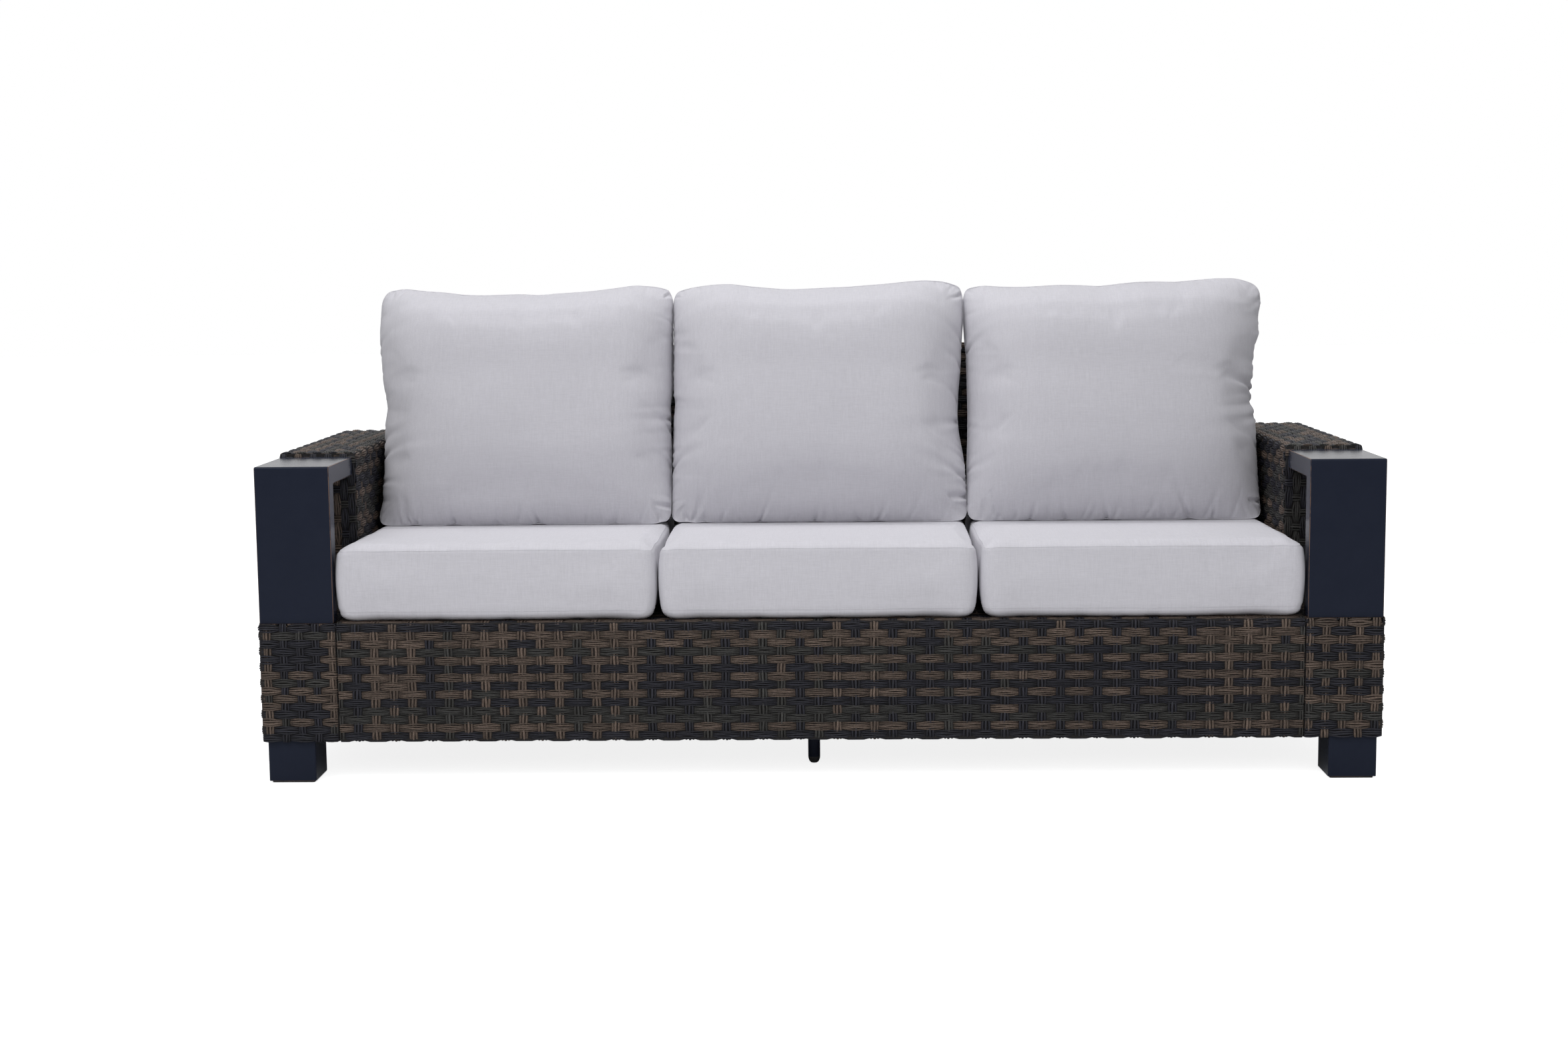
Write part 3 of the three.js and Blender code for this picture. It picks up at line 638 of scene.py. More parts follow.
def weave_apron():
    low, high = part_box("apron_weave")
    path = Path([(high.y, high.z), (low.y, high.z), (low.y, low.z), (high.y, low.z)], EDGE)
    start, length = (low.x - APRON_OVER, 0, 0), high.x - low.x + 2 * APRON_OVER
    skin = Skin(path, ALONG_Y, UP, ALONG_X, start, length)
    tones = mixed(APRON_ROWS, APRON_COLUMNS, 0.04, 0.04)
    weave("apron_strands", skin, False, 36.9 * MM, 16.6 * MM, tones, strands=5, ends=0.86, full=1.08,
          below=high.z + 0.4 * MM)
    shade_sheet("apron_weave")


def weave_arm(side, sign, rows, columns, inside, row, seed):
    """An arm's low block, the tall arm with its front and rear faces, and the shelf in the window."""
    low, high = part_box("arm_weave_" + side)
    cap_low, cap_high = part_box("arm_cap_" + side)
    inner, outer = sorted((abs(low.x), abs(high.x)))
    front, rear, top = low.y, high.y, high.z
    shelf, window = cap_low.z - SKIN_GAP, cap_high.y + SKIN_GAP
    over, across = top - 2 * MM, (sign, 0, 0)
    upper_rows, upper_columns = stripes((0.38, 0.34, 0.28), seed), stripes((0.4, 0.3, 0.3), seed + 3)
    block = mixed(rows[::-1], columns, 0.04, 0.1)
    upper = mixed(upper_rows, upper_columns, 0.3, 0.3)
    facing = mixed(inside, upper_columns, 0.08, 0.5)
    paths = {
        "low": Path([(inner, front + WRAPPED), (inner, front), (outer, front), (outer, rear), (inner, rear),
                     (inner, rear - WRAPPED)], EDGE),
        "tall": Path([(outer, shelf), (outer, top), (inner, top), (inner, shelf)], EDGE),
        "face": Path([(window + TURNED_IN, over), (window, over), (window, shelf)], SMALL_EDGE),
        "tail": Path([(rear, shelf), (rear, over), (rear - TURNED_IN, over)], SMALL_EDGE),
        "shelf": Path([(outer, shelf - SHELF_TURNED_IN), (outer, shelf), (inner, shelf),
                       (inner, shelf - SHELF_TURNED_IN)], EDGE),
    }
    skins = {
        "low": Skin(paths["low"], across, ALONG_Y, UP, (0, 0, low.z), shelf - low.z),
        "tall": Skin(paths["tall"], across, UP, ALONG_Y, (0, window + 5 * MM, 0), rear - window - 5 * MM),
        "face": Skin(paths["face"], ALONG_Y, UP, across, (sign * inner, 0, 0), outer - inner),
        "tail": Skin(paths["tail"], ALONG_Y, UP, across, (sign * inner, 0, 0), outer - inner),
        "shelf": Skin(paths["shelf"], across, UP, ALONG_Y, (0, front, 0), window - front),
    }
    bulging = {"ends": 0.55, "full": 1.22, "rise": 4.2 * MM, "sink": 2.4 * MM}
    flat = {"ends": 0.62, "full": 1.16}
    for place, along_path, pitch, width, tones, settings in (
        ("low", True, 32.5 * MM, row, block, {"ends": 0.7, "full": 1.2, "rise": 2 * MM}),
        ("tall", False, ARM_PITCH, ARM_ROW, upper, bulging),
        ("face", True, ARM_PITCH, ARM_ROW, facing, flat),
        ("tail", True, ARM_PITCH, ARM_ROW, upper, flat),
        ("shelf", False, ARM_PITCH, ARM_ROW, block, {"sink": 1.4 * MM, "below": shelf}),
    ):
        weave(f"arm_{place}_strands_{side}", skins[place], along_path, pitch, width, tones, **settings)
    shade_sheet("arm_weave_" + side)


def weave_back():
    """The leaning back panel, measured in its own directions."""
    points = points_of(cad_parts["back_weave"])
    depth, height = points @ PANEL_BACK, points @ PANEL_UP
    half, thick, tall = points[:, 0].max(), np.ptp(depth), np.ptp(height)
    origin = depth.min() * PANEL_BACK + height.min() * PANEL_UP
    deck = (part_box("seat_deck_weave")[1].z - origin[2]) / math.cos(PANEL_LEAN)
    start, middle = deck - TURNED_IN, (tall - EDGE) / 2
    front = Path([(-half, thick / 2), (-half, 0), (half, 0), (half, thick / 2)], EDGE)
    rear = Path([(half, thick / 2), (half, thick), (-half, thick), (-half, thick / 2)], EDGE)
    rim = Path([(thick, tall - RIM_TURNED_IN), (thick, tall), (0, tall), (0, tall - RIM_TURNED_IN)], EDGE)
    tones = hidden_tones(21)
    for name, path, low, length in (
        ("front_strands", front, start, tall - start - EDGE),
        ("rear_strands_low", rear, 0, middle),
        ("rear_strands_high", rear, middle, middle),
        ("rim_strands", rim, 0, 2 * half),
    ):
        skin = Skin(path, ALONG_X, PANEL_BACK, PANEL_UP, origin + low * PANEL_UP, length)
        if path is rim:
            skin = Skin(path, PANEL_BACK, PANEL_UP, ALONG_X, origin + np.array([-half, 0, 0]), length)
        weave("back_" + name, skin, path is not rim, 37 * MM, 16.4 * MM, tones, fine=False, ends=0.66)
    shade_sheet("back_weave")


def weave_deck():
    low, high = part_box("seat_deck_weave")
    path = Path([(high.y, high.z), (low.y, high.z)], EDGE)
    skin = Skin(path, ALONG_Y, UP, ALONG_X, (low.x, 0, 0), high.x - low.x)
    weave("deck_strands", skin, False, 40 * MM, 16.6 * MM, hidden_tones(31), fine=False, sink=2.7 * MM)
    shade_sheet("seat_deck_weave")


weave_apron()
for side, looks in ARMS.items():
    weave_arm(side, **looks)
weave_back()
weave_deck()


# Metal

EDGE_RUB = 1.3 * MM  # how wide the rubbed edges are
SHARP = math.radians(40)  # edges that turn more than this get one


def edged(node):
    """A painted part with its sharp edges narrowly rounded and rubbed."""
    piece = recovered(node, "_painted", BRONZE, RUBBED)
    with reshaped(piece.data) as shape:
        bmesh.ops.remove_doubles(shape, verts=shape.verts, dist=WELD)
        bmesh.ops.dissolve_limit(shape, angle_limit=math.radians(1), verts=shape.verts, edges=shape.edges)
        for face in shape.faces:
            face.material_index = 0
            face.smooth = False
        sharp = [edge for edge in shape.edges
                 if len(edge.link_faces) == 2 and edge.calc_face_angle(0.0) > SHARP]
        made = bmesh.ops.bevel(shape, geom=sharp, offset=EDGE_RUB, segments=2, profile=0.6, affect="EDGES",
                               clamp_overlap=True, material=1)
        for face in made["faces"]:
            face.smooth = True
    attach(piece, "frame")
    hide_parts(node)


for name in sorted(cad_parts):
    if name.startswith(("arm_cap", "leg_")):
        edged(name)


# Cushions

FRAMES = 20  # of each cloth simulation
PRESSURE = 4.0
SHRINK = 0.012  # how much the cloth grows away from its seams, and shrinks at them
TIGHT = 12 * MM  # how far from a seam the cloth shrinks
NEIGHBOUR_SIDE = 0.9 * MM  # how far a cushion's side lies beyond its half width beside another cushion,
ARM_SIDE = -3.1 * MM  # beside a woven arm
CAP_SIDE = 7.4 * MM  # and beside an arm's metal cap
WINDOW_REAR, CAP_BLEND = -196 * MM, 30 * MM  # depth at which the caps end, and how gently a cushion follows

blown = {}  # where the points of each kind of cushion came to lie


def welded(points, faces, name, cover):
    """A cushion's starting mesh, its doubled points joined."""
    piece = mesh_object(name, points, faces, cover)
    with reshaped(piece.data) as shape:
        bmesh.ops.remove_doubles(shape, verts=shape.verts, dist=0.2 * MM)
        bmesh.ops.recalc_face_normals(shape, faces=shape.faces)
    return piece


def simulate(piece, kind, most, seam, loose=1.0):
    """Blows the cushion up as cloth, with its seams drawn tight. No point moves further than most.

    Seam is each point's distance to a seam, and loose the share of its way that it goes. A cushion of a kind
    that was blown up before takes that one's shape.
    """
    if kind in blown:
        set_points(piece, blown[kind])
        return
    start = points_of(piece)
    group = piece.vertex_groups.new(name="seam")
    weights = np.clip(1 - seam / TIGHT, 0, 1)
    for index in np.nonzero(weights > 0)[0]:
        group.add([int(index)], float(weights[index]), "REPLACE")
    cloth = piece.modifiers.new("cloth", "CLOTH")
    settings = cloth.settings
    settings.quality = 4
    settings.mass = 0.3
    settings.tension_stiffness = settings.compression_stiffness = 18
    settings.shear_stiffness = 6
    settings.bending_stiffness = 0.4
    settings.tension_damping = settings.compression_damping = 12
    settings.use_pressure = True
    settings.uniform_pressure_force = PRESSURE
    settings.effector_weights.gravity = 0
    settings.vertex_group_shrink = "seam"
    settings.shrink_min, settings.shrink_max = -SHRINK, SHRINK
    cloth.point_cache.frame_start, cloth.point_cache.frame_end = 1, FRAMES
    scene = bpy.context.scene
    for number in range(1, FRAMES + 1):
        scene.frame_set(number)
    step = points_of(piece.evaluated_get(bpy.context.evaluated_depsgraph_get())) - start
    piece.modifiers.remove(cloth)
    piece.vertex_groups.clear()
    scene.frame_set(1)
    size = np.linalg.norm(step, axis=1, keepdims=True) + 1e-9
    blown[kind] = start + step * (np.tanh(size / most) * most / size) * np.reshape(loose, (-1, 1))
    set_points(piece, blown[kind])


def divided(piece):
    """One level of smooth subdivision, applied."""
    modifier = piece.modifiers.new("smooth", "SUBSURF")
    modifier.levels = modifier.render_levels = 1
    applied(piece)
    piece.data.polygons.foreach_set("use_smooth", np.ones(len(piece.data.polygons), bool))


def nearest_of(spots):
    """A search tree for the nearest of some points."""
    tree = kdtree.KDTree(len(spots))
    for index, spot in enumerate(spots):
        tree.insert(spot, index)
    tree.balance()
    return lambda point: tree.find(point)[1]


def on_line(points, line):
    """For each point, its distance to a closed line and its place along that line, and that line's length."""
    lengths = np.linalg.norm(np.roll(line, -1, axis=0) - line, axis=1)
    places = np.concatenate([[0], np.cumsum(lengths)])
    nearest = nearest_of(line)
    found = np.array([nearest(point) for point in points])
    ahead = (found + 1) % len(line)
    way = line[ahead] - line[found]
    share = ((points - line[found]) * way).sum(1) / np.maximum((way * way).sum(1), 1e-12)
    share = np.clip(share, -0.5, 1)
    near = line[found] + way * share[:, None]
    return np.linalg.norm(points - near, axis=1), places[found] + share * lengths[found], places[-1]


SEAM_DRAW, BOTTOM_DRAW = 0.14, 0.6  # how far a crease draws its seam in, of its depth
FOLD_SPAN = 120 * MM  # how far to either side a crease is worked out
FOLD_START, DRAW_REACH = 4 * MM, 14 * MM  # how far from the seam a crease is deep, and how far it draws
FOLD_WIDENS = 0.1  # how much wider a crease gets with its distance from the seam


def puckers(distance, place, total, folds):
    """Depth of creases that fan out from a seam, and how far they draw the seam in.

    A fold is its spot along the seam, its depth, reach and width, and how far it draws the seam in.
    """
    depth, drawn = np.zeros(len(place)), np.zeros(len(place))
    for spot, deep, reach, wide, draw in folds:
        slant = 0.4 * math.sin(97 * spot)
        off = (place - spot + total / 2) % total - total / 2
        near = np.abs(off) < FOLD_SPAN
        d = distance[near]
        x = (off[near] + slant * d) / (wide + FOLD_WIDENS * d)
        shape = (1 - 1.6 * x * x) * np.exp(-x * x)
        depth[near] += deep * shape * np.exp(-d / reach) * (1 - np.exp(-d / FOLD_START))
        drawn[near] += draw * deep * np.exp(-(off[near] / (1.6 * wide)) ** 2 - (d / DRAW_REACH) ** 2)
    return depth, drawn


def some_folds(total, spacing, deep, reach, draws):
    """Folds at uneven places along a seam."""
    folds, spot = [], 0.0
    while spot < total:
        fold = (spot, deep * draws.uniform(0.35, 1.0), reach * draws.uniform(0.5, 1.4),
                draws.uniform(3.6, 6.5) * MM, SEAM_DRAW)
        folds.append(fold)
        spot += spacing * draws.uniform(0.5, 1.6)
    return folds


def soft_noise(points, size, seed):
    """Slow unevenness from -1 to 1, from a few waves."""
    draws = np.random.default_rng(seed)
    total = np.zeros(len(points))
    for _ in range(7):
        wave = draws.normal(0, 1, 3) / size
        total += np.sin(points @ wave * 2 + draws.uniform(0, 2 * math.pi))
    return total / 4


FIT_BINS = 56  # slices of a cushion, in each of which its reach is measured


def fitted(values, places, wanted, low, high, sign):
    """Stretches values on one side of zero so that at each place their largest is as wanted."""
    edges = np.linspace(low, high, FIT_BINS + 1)
    which = np.clip(np.digitize(places, edges) - 1, 0, FIT_BINS - 1)
    side = values * sign > 0
    largest = np.zeros(FIT_BINS)
    np.maximum.at(largest, which[side], np.abs(values[side]))
    good = largest > 0.6 * largest.max()
    middles = (edges[:-1] + edges[1:]) / 2
    found = np.interp(places, middles[good], largest[good])
    ratio = wanted(places) / found
    share = smoothstep(0.35, 1.0, np.abs(values) / found)
    return np.where(side, values * (1 + (ratio - 1) * share), values)


def with_welt(piece, line, radius):
    """Lets a thin raised seam lie along a closed line on the cushion."""
    line = np.asarray(line)
    for _ in range(3):
        line = 0.5 * line + 0.25 * (np.roll(line, 1, axis=0) + np.roll(line, -1, axis=0))
    way = np.roll(line, -1, axis=0) - np.roll(line, 1, axis=0)
    way /= np.linalg.norm(way, axis=1, keepdims=True)
    first = np.cross(way, (0.31, 0.87, 0.38))
    first /= np.linalg.norm(first, axis=1, keepdims=True)
    second = np.cross(way, first)
    sides = 6
    turns = np.arange(sides) * 2 * math.pi / sides
    rings = line[:, None] + radius * (np.cos(turns)[None, :, None] * first[:, None]
                                      + np.sin(turns)[None, :, None] * second[:, None])
    count = len(line)
    grid = np.arange(count * sides).reshape(count, sides)
    after, beside = np.roll(grid, -1, axis=0), np.roll(grid, -1, axis=1)
    both = np.roll(after, -1, axis=1)
    faces = np.stack([grid, beside, both, after], -1).reshape(-1, 4)
    welt = mesh_object("welt", rings.reshape(-1, 3), faces, LINEN)
    with reshaped(piece.data) as shape:
        shape.from_mesh(welt.data)
    bpy.data.objects.remove(welt)


SEAT_LIFT = 0.6 * MM  # from the underside of the CAD cushion to that of the soft one
SEAM_LOW, SEAM_HIGH = 19 * MM, 146 * MM  # heights of its two seams over its underside
SEAT_TOP = 3 * MM  # how far its top starts over the upper seam, before the crown
SEAT_CORNER = 25 * MM
SEAT_DRAW = 3 * MM  # how far its sides are drawn in between the corners
SEAT_VOXEL, SEAT_SWELL = 7.5 * MM, 7 * MM
SEAT_TAPER, SEAT_CROWN, SEAT_CEILING = 5 * MM, 7 * MM, 8.5 * MM  # at its sides, in front and at most
PIPING = 0.9 * MM  # half the thickness of a seam


def seat_outline(half_x, half_y, count):
    """A rounded rectangle about the origin whose sides are drawn in a little."""
    corners = [(-half_x, -half_y), (half_x, -half_y), (half_x, half_y), (-half_x, half_y)]
    line = Path(corners, SEAT_CORNER, closed=True)
    spots = line.at(np.arange(count) / count * line.length)[0]
    x, y = spots.T
    bow_x, bow_y = (np.clip(1 - share ** 2, 0, 1) for share in (y / half_y, x / half_x))
    return np.stack([x - np.sign(x) * SEAT_DRAW * bow_x * (np.abs(x) / half_x) ** 8,
                     y - np.sign(y) * 0.4 * SEAT_DRAW * bow_y * (np.abs(y) / half_y) ** 8], -1)


def seat_cushion(name, seed):
    """A boxed cushion, flat below, with two piped seams and a top that is crowned in front."""
    draws = np.random.default_rng(seed)
    low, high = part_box(name)
    middle = np.array([(low.x + high.x) / 2, (low.y + high.y) / 2, low.z + SEAT_LIFT])
    half = np.round([(high.x - low.x) / 2, (high.y - low.y) / 2], 5)
    outline = seat_outline(half[0] - 2 * MM, half[1] - 2 * MM, 260)
    # Each ring's inset, as a share, and height, from the middle of the underside to the middle of the top
    steps = [(inset, 0.0) for inset in np.linspace(0.98, 0.12, 12)]
    steps += [(0.078, 0.4 * MM), (0.045, 3 * MM), (0.022, 9 * MM), (0.010, SEAM_LOW)]
    steps += [(0.010 - 0.012 * math.sin(math.pi * share), SEAM_LOW + share * (SEAM_HIGH - SEAM_LOW))
              for share in np.linspace(0.08, 0.92, 9)]
    steps += [(0.010, SEAM_HIGH), (0.026, SEAM_HIGH + 2 * MM), (0.05, SEAM_HIGH + 2.6 * MM)]
    steps += [(inset, SEAM_HIGH + SEAT_TOP) for inset in np.linspace(0.1, 0.98, 12)]
    rings = np.array([[(x * (1 - inset), y * (1 - inset), z) for x, y in outline] for inset, z in steps])
    count = len(outline)
    points = np.concatenate([rings.reshape(-1, 3), [[0, 0, 0], [0, 0, SEAM_HIGH + SEAT_TOP]]])
    last = (len(steps) - 1) * count
    bottom, top = len(points) - 2, len(points) - 1
    faces = []
    for side in range(count):
        after = (side + 1) % count
        for ring in range(0, last, count):
            faces.append((ring + side, ring + after, ring + count + after, ring + count + side))
    for side in range(0, count, 2):
        a, b, c = side, (side + 1) % count, (side + 2) % count
        faces.append((bottom, c, b, a))
        faces.append((top, last + a, last + b, last + c))
    piece = welded(points, faces, name + "_soft", LINEN)
    remesh = piece.modifiers.new("even", "REMESH")
    remesh.mode, remesh.voxel_size = "VOXEL", SEAT_VOXEL
    applied(piece)

    around = seat_outline(half[0], half[1], 640)
    seams = [np.column_stack([around, np.full(len(around), z)]) for z in (SEAM_LOW, SEAM_HIGH)]
    near = np.minimum(*(on_line(points_of(piece), seam)[0] for seam in seams))
    simulate(piece, ("seat", *half), SEAT_SWELL, near)
    divided(piece)
    points = points_of(piece)
    end = half - SEAT_CORNER - 12 * MM

    def at_cap(y):
        """Goes from 0 beside the tall arm to 1 beside the arm's metal cap."""
        return smoothstep(-WINDOW_REAR, CAP_BLEND - WINDOW_REAR, -y - middle[1])

    for sign in (-1, 1):
        beside_arm = name.endswith("left" if sign < 0 else "right")
        held = ARM_SIDE if beside_arm else NEIGHBOUR_SIDE - 0.5 * SEAT_DRAW
        free = CAP_SIDE if beside_arm else NEIGHBOUR_SIDE
        wanted = lambda y: half[0] + held + (free - held) * at_cap(y)
        points[:, 0] = fitted(points[:, 0], points[:, 1], wanted, -end[1], end[1], sign)
        wanted = lambda x: half[1] + NEIGHBOUR_SIDE - 0.5 * SEAT_DRAW * (1 - (x / half[0]) ** 2)
        points[:, 1] = fitted(points[:, 1], points[:, 0], wanted, -end[0], end[0], sign)
    set_points(piece, points)
    move = 0.9 * MM * soft_noise(points, 0.16, seed)
    for seam, deep in zip(seams, (0.8 * MM, 1.2 * MM)):
        distance, place, total = on_line(points, seam)
        depth, _ = puckers(distance, place, total, some_folds(total, 85 * MM, deep, 26 * MM, draws))
        move -= depth
        move -= 1.0 * MM * np.exp(-(distance / (4 * MM)) ** 2)
        move += 0.6 * MM * np.exp(-((distance - 9 * MM) / (6 * MM)) ** 2)
    points += normals_of(piece) * move[:, None]
    forward, aside = -points[:, 1] / half[1], np.abs(points[:, 0]) / half[0]
    upper = smoothstep(SEAM_HIGH - 30 * MM, SEAM_HIGH, points[:, 2])
    points[:, 2] -= SEAT_TAPER * smoothstep(0.8, 1.0, aside) ** 2 * upper
    crown = SEAT_CROWN * (1 - aside ** 4) * (1 - np.clip(forward, 0, 1) ** 6) * smoothstep(-0.3, 0.5, forward)
    points[:, 2] += crown * smoothstep(SEAM_HIGH - 4 * MM, SEAM_HIGH + 4 * MM, points[:, 2])
    ceiling = SEAM_HIGH + 0.2 * MM + SEAT_CEILING * smoothstep(-0.22, 0.2, forward)
    points[:, 2] = np.clip(points[:, 2], 0, ceiling)
    for sign in (-1, 1):
        room = NEIGHBOUR_SIDE
        if name.endswith("left" if sign < 0 else "right"):
            room = ARM_SIDE + (CAP_SIDE - ARM_SIDE) * at_cap(points[:, 1])
        points[:, 0] = sign * np.minimum(points[:, 0] * sign, half[0] + room)
    points[:, 1] = np.minimum(points[:, 1], half[1] + 3 * MM)
    set_points(piece, points)
    shape = bmesh.new()
    shape.from_mesh(piece.data)
    tree = bvhtree.BVHTree.FromBMesh(shape)
    shape.free()
    for seam in seams:
        line = []
        for spot in seam:
            here, normal = tree.find_nearest(Vector(spot))[:2]
            line.append(here - normal * 0.1 * MM)
        with_welt(piece, line, PIPING)
    set_points(piece, points_of(piece) + middle)
    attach(piece, name)
    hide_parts(name)


BACK_HEART = (0.132, 0.73)  # a back cushion's middle, in depth and height
BACK_TALL = 556 * MM
BACK_BASE_DROP = 3.1 * MM  # how far the cushion presses into the seat under it
BACK_SWELL = 7.5 * MM
BACK_GRID = (108, 92)  # faces across and up
SEAT_SEED, BACK_SEED = 40, 60  # of the left cushions
KNIFE_SQUARE = 24  # power of the rounding of its corners: the higher, the squarer
SIMULATED_FROM = (0.49, 0.64)  # heights between which its shape goes over to the simulated one
SIMULATED_TO = (0.85, 0.95)  # and those between which it goes most of the way back
SAG = (0.475, 0.62)  # heights between which its sag at the foot fades away
FOLD_SPACING, FOLD_DEPTH, FOLD_REACH = 25 * MM, 2.9 * MM, 32 * MM  # of the small creases all round
WELT = 1.1 * MM  # half the thickness of its seam
PANEL_CLEAR = 4.5 * MM  # from the back panel's own face to a cushion, over the strands
ARM_TOP_CLEAR, OVER_ARM = 0.668, 15 * MM  # height over which a cushion's side is free to reach over the arm
# Depth and height of a back cushion's front, its rear and its side seam, from the bottom seam to the top
# seam, in mm from the sofa's middle and from the floor
BOTTOM_SEAM, TOP_SEAM = (-8, 475.5), (168, 973)
BACK_FRONT = [BOTTOM_SEAM, (-15, 484), (-26, 500), (-37, 525), (-43, 560), (-44, 600), (-39, 650),
              (-26, 710), (-11, 765), (5, 815), (19, 868), (33, 912), (54, 946), (104, 968), TOP_SEAM]
BACK_REAR = [BOTTOM_SEAM, (40, 475.5), (100, 475.5), (160, 475.5), (205, 477), (229, 489), (240, 508),
             (260, 573), (284, 681), (308, 790), (317, 859), (307, 904), (285, 934), (255, 954), (213, 969),
             TOP_SEAM]
BACK_SIDE = [BOTTOM_SEAM, (14, 500), (46, 560), (84, 650), (117, 740), (144, 830), (160, 900), TOP_SEAM]


def along_profile(profile, share):
    """Depth and height at each share of a profile's length, its corners made soft."""
    line = np.array(profile, float) * MM
    lengths = np.concatenate([[0], np.cumsum(np.linalg.norm(np.diff(line, axis=0), axis=1))])
    fine = np.linspace(0, 1, 400)
    spots = np.stack([np.interp(fine * lengths[-1], lengths, line[:, axis]) for axis in (0, 1)], -1)
    for _ in range(60):
        spots[1:-1] = 0.5 * spots[1:-1] + 0.25 * (spots[2:] + spots[:-2])
    return np.stack([np.interp(share, fine, spots[:, axis]) for axis in (0, 1)], -1)


def back_cushion(name, seed, looks):
    """A knife-edged pillow, with the outline and the folds that the photograph shows."""
    draws = np.random.default_rng(seed)
    low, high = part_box(name)
    centre, half = (low.x + high.x) / 2, round((high.x - low.x) / 2, 5)
    base, forward = low.z - BACK_BASE_DROP, looks["forward"] * MM
    columns, rows = BACK_GRID
    a, s = np.meshgrid(np.linspace(-1, 1, columns + 1), np.linspace(0, 1, rows + 1))
    v = 2 * s - 1
    largest = np.maximum(np.maximum(np.abs(a), np.abs(v)), 0.01)
    powers = np.abs(a / largest) ** KNIFE_SQUARE + np.abs(v / largest) ** KNIFE_SQUARE + 1e-9
    round_off = powers ** (-1 / KNIFE_SQUARE)
    round_off = 1 - (1 - np.minimum(round_off, 1)) * largest ** 9
    ra, rs = a * round_off, (v * round_off + 1) / 2
    side = along_profile(BACK_SIDE, rs)
    full = np.sqrt(np.clip(1 - np.abs(a) ** 3.8, 0, 1))[..., None]
    sheets = []
    for profile in (BACK_FRONT, BACK_REAR):
        spots = side + (along_profile(profile, rs) - side) * full
        depth = spots[..., 0] - forward * (1 - smoothstep(*SAG, spots[..., 1]))
        sheets.append(np.stack([ra * (half - 2 * MM), depth, spots[..., 1]], -1).reshape(-1, 3))
    count = columns + 1
    grid = np.arange((rows + 1) * count).reshape(rows + 1, count)
    quads = np.stack([grid[:-1, :-1], grid[:-1, 1:], grid[1:, 1:], grid[1:, :-1]], -1).reshape(-1, 4)
    points = np.concatenate(sheets)
    faces = np.concatenate([quads, quads[:, ::-1] + len(sheets[0])])
    edge = np.concatenate([grid[0, :-1], grid[:-1, -1], grid[-1, :0:-1], grid[:0:-1, 0]])
    points[:, 2] = np.maximum(points[:, 2], base)
    seam = points[edge].copy()
    piece = welded(points, faces, name + "_soft", BACK_LINEN_PAINTED_SHADE)
    nearest = nearest_of(points_of(piece))
    on_seam = [nearest(spot) for spot in seam]
    start = points_of(piece)
    distance = on_line(start, seam)[0]
    height = start[:, 2]
    loose = smoothstep(*SIMULATED_FROM, height) * (1 - 0.6 * smoothstep(*SIMULATED_TO, height))
    simulate(piece, ("back", half, forward), BACK_SWELL, distance, loose)
    divided(piece)
    points = points_of(piece) + [centre, 0, 0]
    seam = points[on_seam].copy()

    wide = 2 * half
    folds = some_folds(2 * (wide + BACK_TALL), FOLD_SPACING, FOLD_DEPTH, FOLD_REACH, draws)
    # Where along the seam each edge starts, and how far it goes on
    starts = {"bottom": (0, wide), "right": (wide, BACK_TALL), "left": (2 * (wide + BACK_TALL), -BACK_TALL)}
    for place, (start, way) in starts.items():
        for share, *sizes in looks["folds"][place]:
            draw = BOTTOM_DRAW if place == "bottom" else SEAM_DRAW
            folds.append((start + share * way, *(size * MM for size in sizes), draw))
    distance, place, total = on_line(points, seam)
    depth, drawn = puckers(distance, place, total, folds)
    move = -depth + 1.6 * MM * soft_noise(points, 0.13, seed)
    move += 0.9 * MM * soft_noise(points, 0.05, seed + 1) * np.exp(-distance / 0.09)
    move *= 1 - np.exp(-distance / (3 * MM))
    points += normals_of(piece) * move[:, None]
    inwards = np.array([centre, *BACK_HEART]) - points
    inwards /= np.linalg.norm(inwards, axis=1, keepdims=True)
    points += inwards * drawn[:, None]

    height = points[:, 2].copy()
    across = points[:, 0] - centre
    for sign, outline in ((-1, looks["left"]), (1, looks["right"])):
        zs, offsets = np.array(sorted(outline)).T * MM
        wanted = lambda z: half + np.interp(z, zs, offsets)
        across = fitted(across, height, wanted, base + 12 * MM, high.z - 40 * MM, sign)
    tops = np.array(looks["top"]) * MM
    wanted = lambda x: np.interp(x / half, np.linspace(-1, 1, len(tops)), tops) - BACK_HEART[1]
    points[:, 2] = BACK_HEART[1] + fitted(height - BACK_HEART[1], across, wanted, -half, half, 1)
    points[:, 0] = centre + across

    points[:, 2] = np.maximum(points[:, 2], base)
    face = (points_of(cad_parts["back_weave"]) @ PANEL_BACK).min() - PANEL_CLEAR
    beyond = np.maximum(points @ PANEL_BACK - face, 0)
    beyond[points[:, 2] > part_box("back_weave")[1].z + 10 * MM] = 0
    points -= beyond[:, None] * PANEL_BACK
    over = smoothstep(ARM_TOP_CLEAR - 4 * MM, ARM_TOP_CLEAR + 14 * MM, points[:, 2])
    for sign, free in zip((-1, 1), looks["free"]):
        limit = half + (ARM_SIDE + (OVER_ARM - ARM_SIDE) * over if free else NEIGHBOUR_SIDE)
        reached = (points[:, 0] - centre) * sign
        points[:, 0] = centre + sign * np.minimum(reached, limit)
    set_points(piece, points)
    seam = points[on_seam]
    seam[:, 2] = np.maximum(seam[:, 2], base + WELT)
    with_welt(piece, seam, WELT)
    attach(piece, name)
    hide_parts(name)


